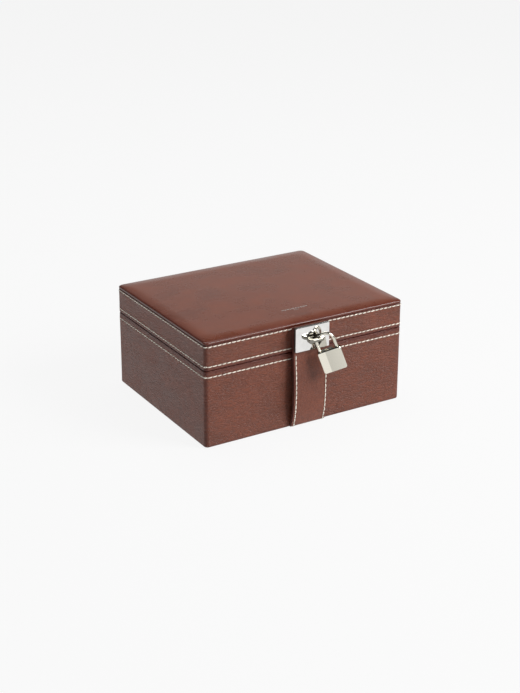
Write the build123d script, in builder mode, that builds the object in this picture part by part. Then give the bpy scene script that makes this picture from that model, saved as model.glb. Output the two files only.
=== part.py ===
from build123d import *

import os
from math import cos, radians, sin

# Leather jewellery case: a leather-covered board box with a hinged lid, a front strap that ends in a
# metal lock plate with an eye, and a small padlock that hangs in the eye.
# Millimetres. X runs to the right along the front, Y runs from the front to the back, Z is up.
# The origin is on the surface that the case stands on, under the middle of its body.

# ---- Driving dimensions: the box -------------------------------------------------------------
case_width = 220.0
case_depth = 180.0
rim_height = 76.5
lid_height = 28.9
lid_gap = 0.6
corner_radius = 4.0
bottom_edge_radius = 1.6

leather = 1.4
skived_leather = 0.8
turn_in_depth = 10.0
wall_board = 6.0
floor_board = 5.5
lid_top_board = 6.0

# The top cover is a padded panel of its own, with a groove between it and the side leather.
cover_height = 4.0
cover_edge_radius = 2.2
cover_groove = 0.4

# The case stands on the underside panel, a little below the leather of the sides.
underside_leather = 1.6
underside_inset = 14.0
underside_proud = 0.3

# ---- Driving dimensions: the inside ----------------------------------------------------------
lining_board = 2.5
neck_height = 6.0
neck_clearance = 0.5
floor_pad = 3.0
lid_lining = 1.0
headliner = 1.0
mirror_width = 150.0
mirror_depth = 110.0
mirror_glass = 2.0
mirror_frame_width = 5.0
mirror_frame_height = 2.6

divider = 4.0
divider_height = 51.8
long_divider_y = -10.0
front_divider_x = 24.0
back_divider_x = 34.0
ring_bed_height = 34.0
ring_roll_radius = 7.0
ring_roll_count = 4
ring_roll_gap = 1.2
fitting_clearance = 0.3

# ---- Driving dimensions: the hinges ----------------------------------------------------------
hinge_spacing = 124.0
hinge_length = 30.0
barrel_radius = 2.4
hinge_pin_radius = 1.0
hinge_running_clearance = 0.04
barrel_clearance = 0.3
knuckle_count = 3
knuckle_gap = 0.25
hinge_leaf_width = 7.0
hinge_screw_spacing = 18.0
hinge_screw_radius = 1.0
hinge_screw_length = 9.0

# ---- Driving dimensions: the strap and the lock plate ----------------------------------------
strap_width = 38.0
strap_face_leather = 2.0
strap_back_leather = 1.0
strap_gap_at_plate = 3.0
strap_gap_at_middle = 4.5
strap_pivot_out = 1.5
strap_pivot_height = 2.1
strap_tail_length = 27.7
strap_end_gap = 0.3
tack_radius = 1.2
tack_length = 3.4

plate_width = 37.4
plate_height = 24.5
plate_thickness = 1.2
plate_pad = 2.0
plate_below_top = 2.4
plate_corner_radius = 1.2
plate_edge_bevel = 0.4
plate_screw_x = 15.0
plate_screw_z = 8.0
plate_screw_radius = 1.0
plate_screw_bite = 0.8
back_plate_inset = 1.5
back_plate_thickness = 0.8

magnet_radius = 3.5
magnet_thickness = 1.5
magnet_x = 9.0
striker_width = 34.0
striker_height = 18.0
striker_thickness = 1.0
striker_screw_x = 13.5
striker_screw_radius = 0.9
striker_screw_length = 5.0

eye_width = 17.0
eye_height = 3.2
eye_hole_width = 10.5
eye_hole_depth = 5.0
eye_bar = 2.6
eye_back_wall = 1.5
eye_collar_radius = 6.5
eye_collar_thickness = 1.2
eye_shank_radius = 2.0
eye_rivet_radius = 3.0
eye_rivet_height = 0.5

# ---- Driving dimensions: the padlock ---------------------------------------------------------
padlock_width = 23.0
padlock_height = 22.5
padlock_thickness = 6.6
padlock_back = 1.0
padlock_corner_radius = 2.0
padlock_bevel = 0.8
shackle_radius = 1.5
shackle_leg_spacing = 16.4
shackle_leg_height = 8.1
shackle_leg_in_case = 4.0
shackle_clearance = 0.15
shackle_exit_play = 0.65
shackle_opening = 65.0
pivot_pin_radius = 0.75
pivot_running_clearance = 0.05
pivot_pin_length = 4.9
plug_radius = 2.3
plug_running_clearance = 0.05
bolt_height = 1.6
bolt_half_depth = 1.8
bolt_play = 0.1
cam_throw = 0.9
cam_pin_radius = 0.4
bolt_rest_gap = 0.6

# The padlock hangs askew: its lower edge is swung to the right, and its right side to the front.
padlock_roll = 20.0
padlock_yaw = 30.0
eye_contact_angle = 139.0

# ---- Derived sizes ---------------------------------------------------------------------------
half_width = case_width / 2
half_depth = case_depth / 2
front_face = -half_depth
lid_bottom = rim_height + lid_gap
case_height = lid_bottom + lid_height
lid_board = wall_board - neck_clearance
cover_bottom = case_height - cover_height
lid_wall_top = cover_bottom - lid_top_board
floor_bottom = underside_leather + 0.1
floor_top = floor_bottom + floor_board
board_rim = rim_height - leather
lid_board_rim = lid_bottom + leather
neck_top = rim_height + neck_height
lining_inset = leather + wall_board + skived_leather
inner_inset = lining_inset + lining_board
room_width = case_width - 2 * inner_inset
room_depth = case_depth - 2 * inner_inset
pad_top = floor_top + floor_pad
divider_top = pad_top + divider_height

strap_thickness = strap_face_leather + strap_back_leather
strap_back_face = front_face - strap_gap_at_plate
strap_front_face = strap_back_face - strap_thickness
plate_back = strap_front_face - plate_pad
plate_face = plate_back - plate_thickness
plate_top = case_height - plate_below_top
plate_bottom = plate_top - plate_height
plate_middle = (plate_top + plate_bottom) / 2

SIDES = ("front", "back", "left", "right")
HINGE_XS = (-hinge_spacing / 2, hinge_spacing / 2)

os.makedirs("parts", exist_ok=True)


def save(piece, name):
    """Labels a finished piece and writes it as its own STEP file."""
    piece.part.label = name
    export_step(piece.part, f"parts/{name}.step")


def case_outline(inset, mode=Mode.ADD):
    """The case's plan, inset by a wall, with the corners that are left of the outer ones."""
    width = case_width - 2 * inset
    depth = case_depth - 2 * inset
    radius = corner_radius - inset
    if radius > 0.1:
        RectangleRounded(width, depth, radius, mode=mode)
    else:
        Rectangle(width, depth, mode=mode)


def wall_strip(side, inset, thickness):
    """The plan of one wall: front and back run the full width, left and right stand between them."""
    across = half_depth - inset - thickness / 2
    along = half_width - inset - thickness / 2
    if side in ("front", "back"):
        sign = -1 if side == "front" else 1
        with Locations((0, sign * across)):
            Rectangle(case_width, thickness, mode=Mode.INTERSECT)
    else:
        sign = -1 if side == "left" else 1
        with Locations((sign * along, 0)):
            Rectangle(thickness, case_depth - 2 * (inset + thickness), mode=Mode.INTERSECT)


def hinge_screw_points():
    """The plan of the hinge screws: each leaf has one near each end, over the middle of the board."""
    y = half_depth - leather - wall_board / 2
    return [(x + s * hinge_screw_spacing / 2, y) for x in HINGE_XS for s in (-1, 1)]


# ---- The base carcass ------------------------------------------------------------------------
with BuildPart() as base_floor_board:
    with BuildSketch(Plane.XY.offset(floor_bottom)):
        case_outline(leather)
    extrude(amount=floor_board)
    fillet(base_floor_board.faces().sort_by(Axis.Z)[0].edges(), bottom_edge_radius - leather)
    with BuildSketch(Plane.XY.offset(floor_bottom)):
        with Locations((0, front_face + strap_tail_length / 2)):
            Rectangle(strap_width + 2 * fitting_clearance, strap_tail_length + fitting_clearance)
    extrude(amount=strap_pivot_height + strap_thickness / 2 - floor_bottom, mode=Mode.SUBTRACT)
save(base_floor_board, "base_floor_board")

for side in SIDES:
    with BuildPart() as base_wall:
        with BuildSketch(Plane.XY.offset(floor_top)):
            case_outline(leather)
            wall_strip(side, leather, wall_board)
        extrude(amount=board_rim - floor_top)
        if side == "back":
            with BuildSketch(Plane.XY.offset(board_rim)):
                with Locations(*hinge_screw_points()):
                    Circle(hinge_screw_radius)
            extrude(amount=-(hinge_screw_length - leather), mode=Mode.SUBTRACT)
    save(base_wall, f"base_{side}_board")

# The base leather covers the outside, turns over the rim and a little way down inside, and turns
# under the floor to the underside panel.
with BuildPart() as base_leather_wrap:
    with BuildSketch(Plane.XY.offset(underside_proud)):
        case_outline(0)
    extrude(amount=rim_height - underside_proud)
    fillet(base_leather_wrap.faces().sort_by(Axis.Z)[0].edges(), bottom_edge_radius)
    with BuildSketch(Plane.XY.offset(floor_bottom)):
        case_outline(leather)
    extrude(amount=floor_board, mode=Mode.SUBTRACT)
    with BuildSketch(Plane.XY.offset(floor_top)):
        case_outline(leather)
    extrude(amount=board_rim - turn_in_depth - floor_top, mode=Mode.SUBTRACT)
    with BuildSketch(Plane.XY.offset(floor_top)):
        case_outline(leather)
        Rectangle(
            case_width - 2 * (leather + wall_board),
            case_depth - 2 * (leather + wall_board),
            mode=Mode.SUBTRACT,
        )
    extrude(amount=board_rim - floor_top, mode=Mode.SUBTRACT)
    with BuildSketch(Plane.XY.offset(floor_top)):
        case_outline(lining_inset)
    extrude(amount=rim_height, mode=Mode.SUBTRACT)
    with BuildSketch(Plane.XY):
        case_outline(underside_inset)
    extrude(amount=floor_bottom, mode=Mode.SUBTRACT)
    with BuildSketch(Plane.XY):
        with Locations((0, front_face)):
            Rectangle(strap_width + 2 * fitting_clearance, 2 * strap_tail_length + fitting_clearance)
    extrude(amount=strap_pivot_height + strap_thickness / 2, mode=Mode.SUBTRACT)
    fillet(
        base_leather_wrap.faces().sort_by(Axis.Z)[-1].outer_wire().edges(),
        leather / 2,
    )
    with BuildSketch(Plane.XY.offset(board_rim)):
        with Locations(*[(x, half_depth - hinge_leaf_width / 2) for x in HINGE_XS]):
            Rectangle(hinge_length, hinge_leaf_width + 2 * leather)
    extrude(amount=2 * leather, mode=Mode.SUBTRACT)
save(base_leather_wrap, "base_leather_wrap")

with BuildPart() as base_underside_panel:
    with BuildSketch():
        case_outline(underside_inset + fitting_clearance)
        with Locations((0, front_face)):
            Rectangle(
                strap_width + 2 * fitting_clearance,
                2 * strap_tail_length + fitting_clearance,
                mode=Mode.SUBTRACT,
            )
    extrude(amount=floor_bottom)
save(base_underside_panel, "base_underside_panel")

# ---- The base lining: boards covered in suede, which stand above the rim as the neck ----------
for side in SIDES:
    with BuildPart() as base_lining:
        with BuildSketch(Plane.XY.offset(floor_top)):
            case_outline(lining_inset)
            wall_strip(side, lining_inset, lining_board)
        extrude(amount=neck_top - floor_top)
        fillet(base_lining.faces().sort_by(Axis.Z)[-1].edges(), lining_board * 0.3)
    save(base_lining, f"base_lining_{side}")

with BuildPart() as base_floor_pad:
    with BuildSketch(Plane.XY.offset(floor_top)):
        Rectangle(room_width, room_depth)
    extrude(amount=floor_pad)
save(base_floor_pad, "base_floor_pad")

# ---- Dividers and ring rolls -----------------------------------------------------------------
front_room_depth = long_divider_y - divider / 2 + room_depth / 2
back_room_depth = room_depth / 2 - long_divider_y - divider / 2
front_room_y = -room_depth / 2 + front_room_depth / 2
back_room_y = room_depth / 2 - back_room_depth / 2

with BuildPart() as divider_long:
    with BuildSketch(Plane.XY.offset(pad_top)):
        with Locations((0, long_divider_y)):
            Rectangle(room_width, divider)
    extrude(amount=divider_top - pad_top)
    fillet(divider_long.faces().sort_by(Axis.Z)[-1].edges().filter_by(Axis.X), divider * 0.3)
save(divider_long, "divider_long")

CROSS_DIVIDERS = {
    "divider_front": (front_divider_x, front_room_y, front_room_depth),
    "divider_back_left": (-back_divider_x, back_room_y, back_room_depth),
    "divider_back_right": (back_divider_x, back_room_y, back_room_depth),
}
for name, (divider_x, divider_y, divider_length) in CROSS_DIVIDERS.items():
    with BuildPart() as cross_divider:
        with BuildSketch(Plane.XY.offset(pad_top)):
            with Locations((divider_x, divider_y)):
                Rectangle(divider, divider_length)
        extrude(amount=divider_top - pad_top)
        fillet(cross_divider.faces().sort_by(Axis.Z)[-1].edges().filter_by(Axis.Y), divider * 0.3)
    save(cross_divider, name)

ring_room_left = -room_width / 2
ring_room_right = front_divider_x - divider / 2
ring_room_width = ring_room_right - ring_room_left
ring_room_x = (ring_room_left + ring_room_right) / 2
ring_bed_top = pad_top + ring_bed_height

with BuildPart() as ring_bed:
    with BuildSketch(Plane.XY.offset(pad_top)):
        with Locations((ring_room_x, front_room_y)):
            Rectangle(ring_room_width - 2 * fitting_clearance, front_room_depth - 2 * fitting_clearance)
    extrude(amount=ring_bed_height)
save(ring_bed, "ring_bed")

ring_roll_pitch = 2 * ring_roll_radius + ring_roll_gap
for index in range(ring_roll_count):
    roll_y = front_room_y + (index - (ring_roll_count - 1) / 2) * ring_roll_pitch
    roll_start = ring_room_left + 2 * fitting_clearance
    with BuildPart() as ring_roll:
        with BuildSketch(Plane.YZ.offset(roll_start)):
            with Locations((roll_y, ring_bed_top + ring_roll_radius)):
                Circle(ring_roll_radius)
        extrude(amount=ring_room_width - 4 * fitting_clearance)
    save(ring_roll, f"ring_roll_{index + 1}")

# ---- The lid carcass -------------------------------------------------------------------------
for side in SIDES:
    with BuildPart() as lid_wall:
        with BuildSketch(Plane.XY.offset(lid_board_rim)):
            case_outline(leather)
            wall_strip(side, leather, lid_board)
        extrude(amount=lid_wall_top - lid_board_rim)
        if side == "back":
            with BuildSketch(Plane.XY.offset(lid_board_rim)):
                with Locations(*hinge_screw_points()):
                    Circle(hinge_screw_radius)
            extrude(amount=hinge_screw_length - leather, mode=Mode.SUBTRACT)
        if side == "front":
            with BuildSketch(Plane.XZ.offset(half_depth - leather)):
                with Locations((-striker_screw_x, plate_middle), (striker_screw_x, plate_middle)):
                    Circle(striker_screw_radius)
            extrude(amount=-(striker_screw_length - striker_thickness - leather), mode=Mode.SUBTRACT)
    save(lid_wall, f"lid_{side}_board")

with BuildPart() as lid_top_panel:
    with BuildSketch(Plane.XY.offset(lid_wall_top)):
        case_outline(leather)
    extrude(amount=lid_top_board)
save(lid_top_panel, "lid_top_board")

# The side leather runs up to the groove under the top cover, and turns in at the lid's rim.
with BuildPart() as lid_side_leather:
    with BuildSketch(Plane.XY.offset(lid_bottom)):
        case_outline(0)
    extrude(amount=cover_bottom - cover_groove - lid_bottom)
    with BuildSketch(Plane.XY.offset(lid_board_rim)):
        case_outline(leather)
        Rectangle(
            case_width - 2 * (leather + lid_board),
            case_depth - 2 * (leather + lid_board),
            mode=Mode.SUBTRACT,
        )
    extrude(amount=case_height, mode=Mode.SUBTRACT)
    with BuildSketch(Plane.XY.offset(lid_board_rim + turn_in_depth)):
        case_outline(leather + lid_board)
    extrude(amount=case_height, mode=Mode.SUBTRACT)
    with BuildSketch(Plane.XY.offset(lid_wall_top)):
        case_outline(leather)
    extrude(amount=case_height, mode=Mode.SUBTRACT)
    with BuildSketch(Plane.XY.offset(lid_bottom)):
        case_outline(leather + lid_board + skived_leather)
    extrude(amount=case_height, mode=Mode.SUBTRACT)
    fillet(
        lid_side_leather.faces().sort_by(Axis.Z)[0].outer_wire().edges(),
        leather / 2,
    )
    with BuildSketch(Plane.XY.offset(lid_board_rim)):
        with Locations(*[(x, half_depth - hinge_leaf_width / 2) for x in HINGE_XS]):
            Rectangle(hinge_length, hinge_leaf_width + 2 * leather)
    extrude(amount=-2 * leather, mode=Mode.SUBTRACT)
    with BuildSketch(Plane.XZ.offset(half_depth + leather)):
        with Locations((-striker_screw_x, plate_middle), (striker_screw_x, plate_middle)):
            Circle(striker_screw_radius)
    extrude(amount=-3 * leather, mode=Mode.SUBTRACT)
save(lid_side_leather, "lid_side_leather")

with BuildPart() as lid_foam_pad:
    with BuildSketch(Plane.XY.offset(cover_bottom)):
        case_outline(leather)
    extrude(amount=cover_height - leather)
    fillet(lid_foam_pad.faces().sort_by(Axis.Z)[-1].edges(), cover_edge_radius - leather)
save(lid_foam_pad, "lid_foam_pad")

with BuildPart() as lid_top_leather:
    with BuildSketch(Plane.XY.offset(cover_bottom)):
        case_outline(0)
    extrude(amount=cover_height)
    fillet(lid_top_leather.faces().sort_by(Axis.Z)[-1].edges(), cover_edge_radius)
    add(lid_foam_pad.part, mode=Mode.SUBTRACT)
save(lid_top_leather, "lid_top_leather")

# ---- The lid lining and mirror ---------------------------------------------------------------
lid_room_inset = leather + lid_board
headliner_bottom = lid_wall_top - headliner
lid_lining_bottom = lid_board_rim + turn_in_depth

with BuildPart() as lid_lining_strip:
    with BuildSketch(Plane.XY.offset(lid_lining_bottom)):
        case_outline(lid_room_inset)
        Rectangle(
            case_width - 2 * (lid_room_inset + lid_lining),
            case_depth - 2 * (lid_room_inset + lid_lining),
            mode=Mode.SUBTRACT,
        )
    extrude(amount=headliner_bottom - lid_lining_bottom)
save(lid_lining_strip, "lid_lining_strip")

with BuildPart() as lid_headliner:
    with BuildSketch(Plane.XY.offset(headliner_bottom)):
        case_outline(lid_room_inset)
    extrude(amount=headliner)
save(lid_headliner, "lid_headliner")

with BuildPart() as lid_mirror:
    with BuildSketch(Plane.XY.offset(headliner_bottom)):
        RectangleRounded(mirror_width, mirror_depth, corner_radius)
    extrude(amount=-mirror_glass)
save(lid_mirror, "lid_mirror")

with BuildPart() as lid_mirror_frame:
    with BuildSketch(Plane.XY.offset(headliner_bottom)):
        RectangleRounded(
            mirror_width + 2 * mirror_frame_width,
            mirror_depth + 2 * mirror_frame_width,
            corner_radius + mirror_frame_width,
        )
        RectangleRounded(mirror_width, mirror_depth, corner_radius, mode=Mode.SUBTRACT)
    extrude(amount=-mirror_frame_height)
    fillet(lid_mirror_frame.faces().sort_by(Axis.Z)[0].edges(), mirror_frame_height * 0.3)
save(lid_mirror_frame, "lid_mirror_frame")

# ---- Hinges: leaves let into the rims, barrels just behind the back face ----------------------
hinge_y = half_depth + barrel_clearance + barrel_radius
hinge_z = rim_height + lid_gap / 2
knuckle_length = (hinge_length - (knuckle_count - 1) * knuckle_gap) / knuckle_count
knuckle_pitch = knuckle_length + knuckle_gap
leaf_inner_edge = half_depth - hinge_leaf_width


def hinge_leaf(hinge_x, knuckles, leaf_low, screw_sign):
    """One leaf: a flat plate in the rim, with its knuckles, their bore and two screw holes."""
    start = hinge_x - hinge_length / 2
    with BuildPart() as leaf:
        with BuildSketch(Plane.XY.offset(leaf_low)):
            with Locations((hinge_x, (leaf_inner_edge + half_depth) / 2)):
                Rectangle(hinge_length, hinge_leaf_width)
        extrude(amount=leather)
        for knuckle in knuckles:
            knuckle_start = start + knuckle * knuckle_pitch
            with BuildSketch(Plane.XY.offset(leaf_low)):
                with Locations((knuckle_start + knuckle_length / 2, (half_depth + hinge_y) / 2)):
                    Rectangle(knuckle_length, hinge_y - half_depth)
            extrude(amount=leather)
            with BuildSketch(Plane.YZ.offset(knuckle_start)):
                with Locations((hinge_y, hinge_z)):
                    Circle(barrel_radius)
            extrude(amount=knuckle_length)
        with BuildSketch(Plane.YZ.offset(start)):
            with Locations((hinge_y, hinge_z)):
                Circle(hinge_pin_radius + hinge_running_clearance)
        extrude(amount=hinge_length, mode=Mode.SUBTRACT)
        screws = [p for p in hinge_screw_points() if abs(p[0] - hinge_x) < hinge_length / 2]
        with BuildSketch(Plane.XY.offset(leaf_low)):
            with Locations(*screws):
                Circle(hinge_screw_radius)
        extrude(amount=leather, mode=Mode.SUBTRACT)
        face_height = leaf_low + leather if screw_sign > 0 else leaf_low
        for x, y in screws:
            with Locations(Location((x, y, face_height), (0, 0 if screw_sign > 0 else 180, 0))):
                CounterSinkHole(hinge_screw_radius, 2 * hinge_screw_radius, depth=leather, counter_sink_angle=90)
    return leaf


def hinge_pin(hinge_x):
    """A pin with a peened head at each end."""
    start = hinge_x - hinge_length / 2
    head = hinge_pin_radius * 0.5
    with BuildPart() as pin:
        with BuildSketch(Plane.YZ.offset(start)):
            with Locations((hinge_y, hinge_z)):
                Circle(hinge_pin_radius)
        extrude(amount=hinge_length)
        for head_start in (start - head, start + hinge_length):
            with BuildSketch(Plane.YZ.offset(head_start)):
                with Locations((hinge_y, hinge_z)):
                    Circle(hinge_pin_radius * 1.6)
            extrude(amount=head)
    return pin


def hinge_screws(face_height, direction):
    """The countersunk screws of both hinges on one side of the split."""
    head_depth = hinge_screw_radius
    with BuildPart() as screws:
        for x, y in hinge_screw_points():
            with BuildSketch(Plane.XY.offset(face_height)):
                with Locations((x, y)):
                    Circle(hinge_screw_radius)
            extrude(amount=-direction * hinge_screw_length)
            top = Plane((x, y, face_height), z_dir=(0, 0, direction))
            with Locations(top.offset(-head_depth / 2)):
                Cone(hinge_screw_radius, 2 * hinge_screw_radius, head_depth)
    return screws


outer_knuckles = range(0, knuckle_count, 2)
inner_knuckles = range(1, knuckle_count, 2)
for hand, hinge_x in zip(("left", "right"), HINGE_XS):
    save(hinge_leaf(hinge_x, outer_knuckles, board_rim, 1), f"hinge_base_leaf_{hand}")
    save(hinge_leaf(hinge_x, inner_knuckles, lid_bottom, -1), f"hinge_lid_leaf_{hand}")
    save(hinge_pin(hinge_x), f"hinge_pin_{hand}")
save(hinge_screws(rim_height, 1), "hinge_screws_base")
save(hinge_screws(lid_bottom, -1), "hinge_screws_lid")

# ---- The strap: two layers of leather that rise from under the front edge ----------------------
pivot_y = front_face - strap_pivot_out
half_strap = strap_thickness / 2
middle_of_plate_strap = (strap_back_face + strap_front_face) / 2
middle_of_free_strap = front_face - strap_gap_at_middle - half_strap
strap_top = plate_top - plate_edge_bevel


def strap_line(shift, low=strap_pivot_height):
    """The strap's side view, moved out by shift: out from the foot, a long bow, then flat at the plate."""
    rise = plate_bottom - strap_pivot_height
    foot = (pivot_y + shift, strap_pivot_height)
    shin = ((pivot_y * 0.3 + middle_of_free_strap * 0.7) + shift, strap_pivot_height + 0.16 * rise)
    bow_low = (middle_of_free_strap + shift, strap_pivot_height + 0.36 * rise)
    bow_high = (middle_of_free_strap + shift, strap_pivot_height + 0.62 * rise)
    meet = (middle_of_plate_strap + shift, plate_bottom)
    return [foot, shin, bow_low, bow_high, meet]


def strap_layer(outer_shift, inner_shift):
    """One layer's side view, the outline between two lines of the strap."""
    outer = strap_line(outer_shift)
    inner = strap_line(inner_shift)
    with BuildLine() as layer:
        outer_bow = Spline(*outer, tangents=[(-0.35, 1), (0, 1)])
        outer_flat = Line(outer_bow @ 1, (outer[-1][0], strap_top))
        inner_bow = Spline(*inner, tangents=[(-0.35, 1), (0, 1)])
        inner_flat = Line(inner_bow @ 1, (inner[-1][0], strap_top))
        Line(outer_flat @ 1, inner_flat @ 1)
        Line(outer_bow @ 0, inner_bow @ 0)
    return layer.edges()


plate_points = [(sx * plate_screw_x, plate_middle + sz * plate_screw_z) for sx in (-1, 1) for sz in (-1, 1)]
face_to_lining = -half_strap + strap_face_leather
face_layer = strap_layer(-half_strap, face_to_lining)
lining_layer = strap_layer(face_to_lining, half_strap)

with BuildPart() as strap_leather_outer:
    with BuildSketch(Plane.YZ.offset(-strap_width / 2)):
        make_face(face_layer)
    extrude(amount=strap_width)
    with BuildSketch(Plane.YZ.offset(-strap_width / 2)):
        with Locations((pivot_y, strap_pivot_height)):
            Circle(half_strap)
        with Locations((pivot_y, strap_pivot_height + half_strap)):
            Rectangle(strap_thickness, strap_thickness, mode=Mode.SUBTRACT)
    extrude(amount=strap_width)
    with BuildSketch(Plane.XZ.offset(-strap_front_face)):
        with Locations(*plate_points):
            Circle(plate_screw_radius)
        with Locations((0, plate_middle)):
            Circle(eye_shank_radius)
    extrude(amount=-strap_thickness, mode=Mode.SUBTRACT)
save(strap_leather_outer, "strap_leather_outer")

with BuildPart() as strap_leather_lining:
    with BuildSketch(Plane.YZ.offset(-strap_width / 2)):
        make_face(lining_layer)
    extrude(amount=strap_width)
    with BuildSketch(Plane.XZ.offset(-strap_front_face)):
        with Locations(*plate_points):
            Circle(plate_screw_radius)
        with Locations((0, plate_middle)):
            Circle(eye_shank_radius)
    extrude(amount=-2 * strap_thickness, mode=Mode.SUBTRACT)
save(strap_leather_lining, "strap_leather_lining")

# The strap's tail is let into the floor, and two tacks hold it there.
tail_front = pivot_y + half_strap + strap_end_gap
tail_back = front_face + strap_tail_length
tail_low = strap_pivot_height - half_strap
tack_points = [(-strap_width / 4, tail_back - 8.0), (strap_width / 4, tail_back - 8.0)]

with BuildPart() as strap_tail:
    with BuildSketch(Plane.XY.offset(tail_low)):
        with Locations((0, (tail_front + tail_back) / 2)):
            Rectangle(strap_width, tail_back - tail_front)
    extrude(amount=strap_thickness)
    with BuildSketch(Plane.XY.offset(tail_low)):
        with Locations(*tack_points):
            Circle(tack_radius)
    extrude(amount=strap_thickness, mode=Mode.SUBTRACT)
save(strap_tail, "strap_tail")

with BuildPart() as strap_tacks:
    with BuildSketch(Plane.XY.offset(tail_low)):
        with Locations(*tack_points):
            Circle(tack_radius)
    extrude(amount=strap_thickness)
save(strap_tacks, "strap_tacks")

# ---- Lock plate, its backing, magnets and the eye ---------------------------------------------
# A dark leather pad as wide as the strap lies between its end and the thin metal plate.
with BuildPart() as strap_end_pad:
    with BuildSketch(Plane.XZ.offset(-strap_front_face)):
        with Locations((0, plate_middle)):
            RectangleRounded(strap_width, plate_height, plate_corner_radius)
            Circle(eye_shank_radius, mode=Mode.SUBTRACT)
        with Locations(*plate_points):
            Circle(plate_screw_radius, mode=Mode.SUBTRACT)
    extrude(amount=plate_pad)
save(strap_end_pad, "strap_end_pad")

with BuildPart() as lock_plate:
    with BuildSketch(Plane.XZ.offset(-plate_back)):
        with Locations((0, plate_middle)):
            RectangleRounded(plate_width, plate_height, plate_corner_radius)
    extrude(amount=plate_thickness)
    chamfer(lock_plate.faces().sort_by(Axis.Y)[0].edges(), plate_edge_bevel)
    with BuildSketch(Plane.XZ.offset(-plate_back)):
        with Locations(*plate_points):
            Circle(plate_screw_radius)
    extrude(amount=plate_screw_bite, mode=Mode.SUBTRACT)
    with BuildSketch(Plane.XZ.offset(-plate_back)):
        with Locations((0, plate_middle)):
            Circle(eye_shank_radius)
    extrude(amount=plate_thickness, mode=Mode.SUBTRACT)
save(lock_plate, "lock_plate")

with BuildPart() as lock_plate_backing:
    with BuildSketch(Plane.XZ.offset(-strap_back_face)):
        with Locations((0, plate_middle)):
            RectangleRounded(
                strap_width - 2 * back_plate_inset,
                plate_height - 2 * back_plate_inset,
                plate_corner_radius,
            )
            Circle(eye_shank_radius, mode=Mode.SUBTRACT)
        with Locations(*plate_points):
            Circle(plate_screw_radius, mode=Mode.SUBTRACT)
        with Locations((-magnet_x, plate_middle), (magnet_x, plate_middle)):
            Circle(magnet_radius, mode=Mode.SUBTRACT)
    extrude(amount=-back_plate_thickness)
save(lock_plate_backing, "lock_plate_backing")

with BuildPart() as lock_plate_screws:
    with BuildSketch(Plane.XZ.offset(-strap_back_face - back_plate_thickness)):
        with Locations(*plate_points):
            Circle(plate_screw_radius)
    extrude(amount=back_plate_thickness + strap_thickness + plate_pad + plate_screw_bite)
    with BuildSketch(Plane.XZ.offset(-strap_back_face - back_plate_thickness)):
        with Locations(*plate_points):
            Circle(2 * plate_screw_radius)
    extrude(amount=-eye_rivet_height)
save(lock_plate_screws, "lock_plate_screws")

with BuildPart() as strap_magnets:
    with BuildSketch(Plane.XZ.offset(-strap_back_face)):
        with Locations((-magnet_x, plate_middle), (magnet_x, plate_middle)):
            Circle(magnet_radius)
    extrude(amount=-magnet_thickness)
save(strap_magnets, "strap_magnets")

hole_back = plate_face - eye_back_wall
hole_y = hole_back - eye_hole_depth / 2
eye_front = hole_back - eye_hole_depth - eye_bar
eye_depth = plate_face - eye_front

with BuildPart() as staple_eye:
    with BuildSketch(Plane.XY.offset(plate_middle - eye_height / 2)):
        with Locations((0, plate_face - eye_depth / 2)):
            RectangleRounded(eye_width, eye_depth, eye_depth * 0.42)
    extrude(amount=eye_height)
    fillet(staple_eye.faces().filter_by(Axis.Z).edges(), eye_height * 0.28)
    with BuildSketch(Plane.XY.offset(plate_middle - eye_height)):
        with Locations((0, hole_y)):
            RectangleRounded(eye_hole_width, eye_hole_depth, eye_hole_depth * 0.4)
    extrude(amount=2 * eye_height, mode=Mode.SUBTRACT)
    with BuildSketch(Plane.XZ.offset(-plate_face)):
        with Locations((0, plate_middle)):
            Circle(eye_collar_radius)
    extrude(amount=eye_collar_thickness)
    with BuildSketch(Plane.XZ.offset(-plate_face)):
        with Locations((0, plate_middle)):
            Circle(eye_shank_radius)
    extrude(amount=-(plate_thickness + plate_pad + strap_thickness + back_plate_thickness))
    with BuildSketch(Plane.XZ.offset(-strap_back_face - back_plate_thickness)):
        with Locations((0, plate_middle)):
            Circle(eye_rivet_radius)
    extrude(amount=-eye_rivet_height)
save(staple_eye, "staple_eye")

with BuildPart() as striker_plate:
    with BuildSketch(Plane.XZ.offset(half_depth)):
        with Locations((0, plate_middle)):
            RectangleRounded(striker_width, striker_height, plate_corner_radius)
        with Locations((-striker_screw_x, plate_middle), (striker_screw_x, plate_middle)):
            Circle(striker_screw_radius, mode=Mode.SUBTRACT)
    extrude(amount=striker_thickness)
save(striker_plate, "striker_plate")

with BuildPart() as striker_screws:
    with BuildSketch(Plane.XZ.offset(half_depth + striker_thickness)):
        with Locations((-striker_screw_x, plate_middle), (striker_screw_x, plate_middle)):
            Circle(striker_screw_radius)
    extrude(amount=-striker_screw_length)
save(striker_screws, "striker_screws")

# ---- The padlock, drawn on its own tilted plane -----------------------------------------------
# Its local x runs across it to the right, its local y up its legs, and its local z out of its face.
# The local origin is the centre of the shackle's bow.
roll = radians(padlock_roll)
yaw = radians(padlock_yaw)
level = Vector(cos(yaw), -sin(yaw), 0)
up = Vector(0, 0, 1)
across = level * cos(roll) + up * sin(roll)
along = up * cos(roll) - level * sin(roll)
outward = across.cross(along)

bow_radius = shackle_leg_spacing / 2
contact = radians(eye_contact_angle)
eye_play = (eye_hole_width / 2 - shackle_radius) * 0.6
hang_point = Vector(eye_play, hole_y, plate_middle)
bow_centre = hang_point - across * (bow_radius * cos(contact)) - along * (bow_radius * sin(contact))
padlock_plane = Plane(origin=bow_centre, x_dir=across, z_dir=outward)

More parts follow.
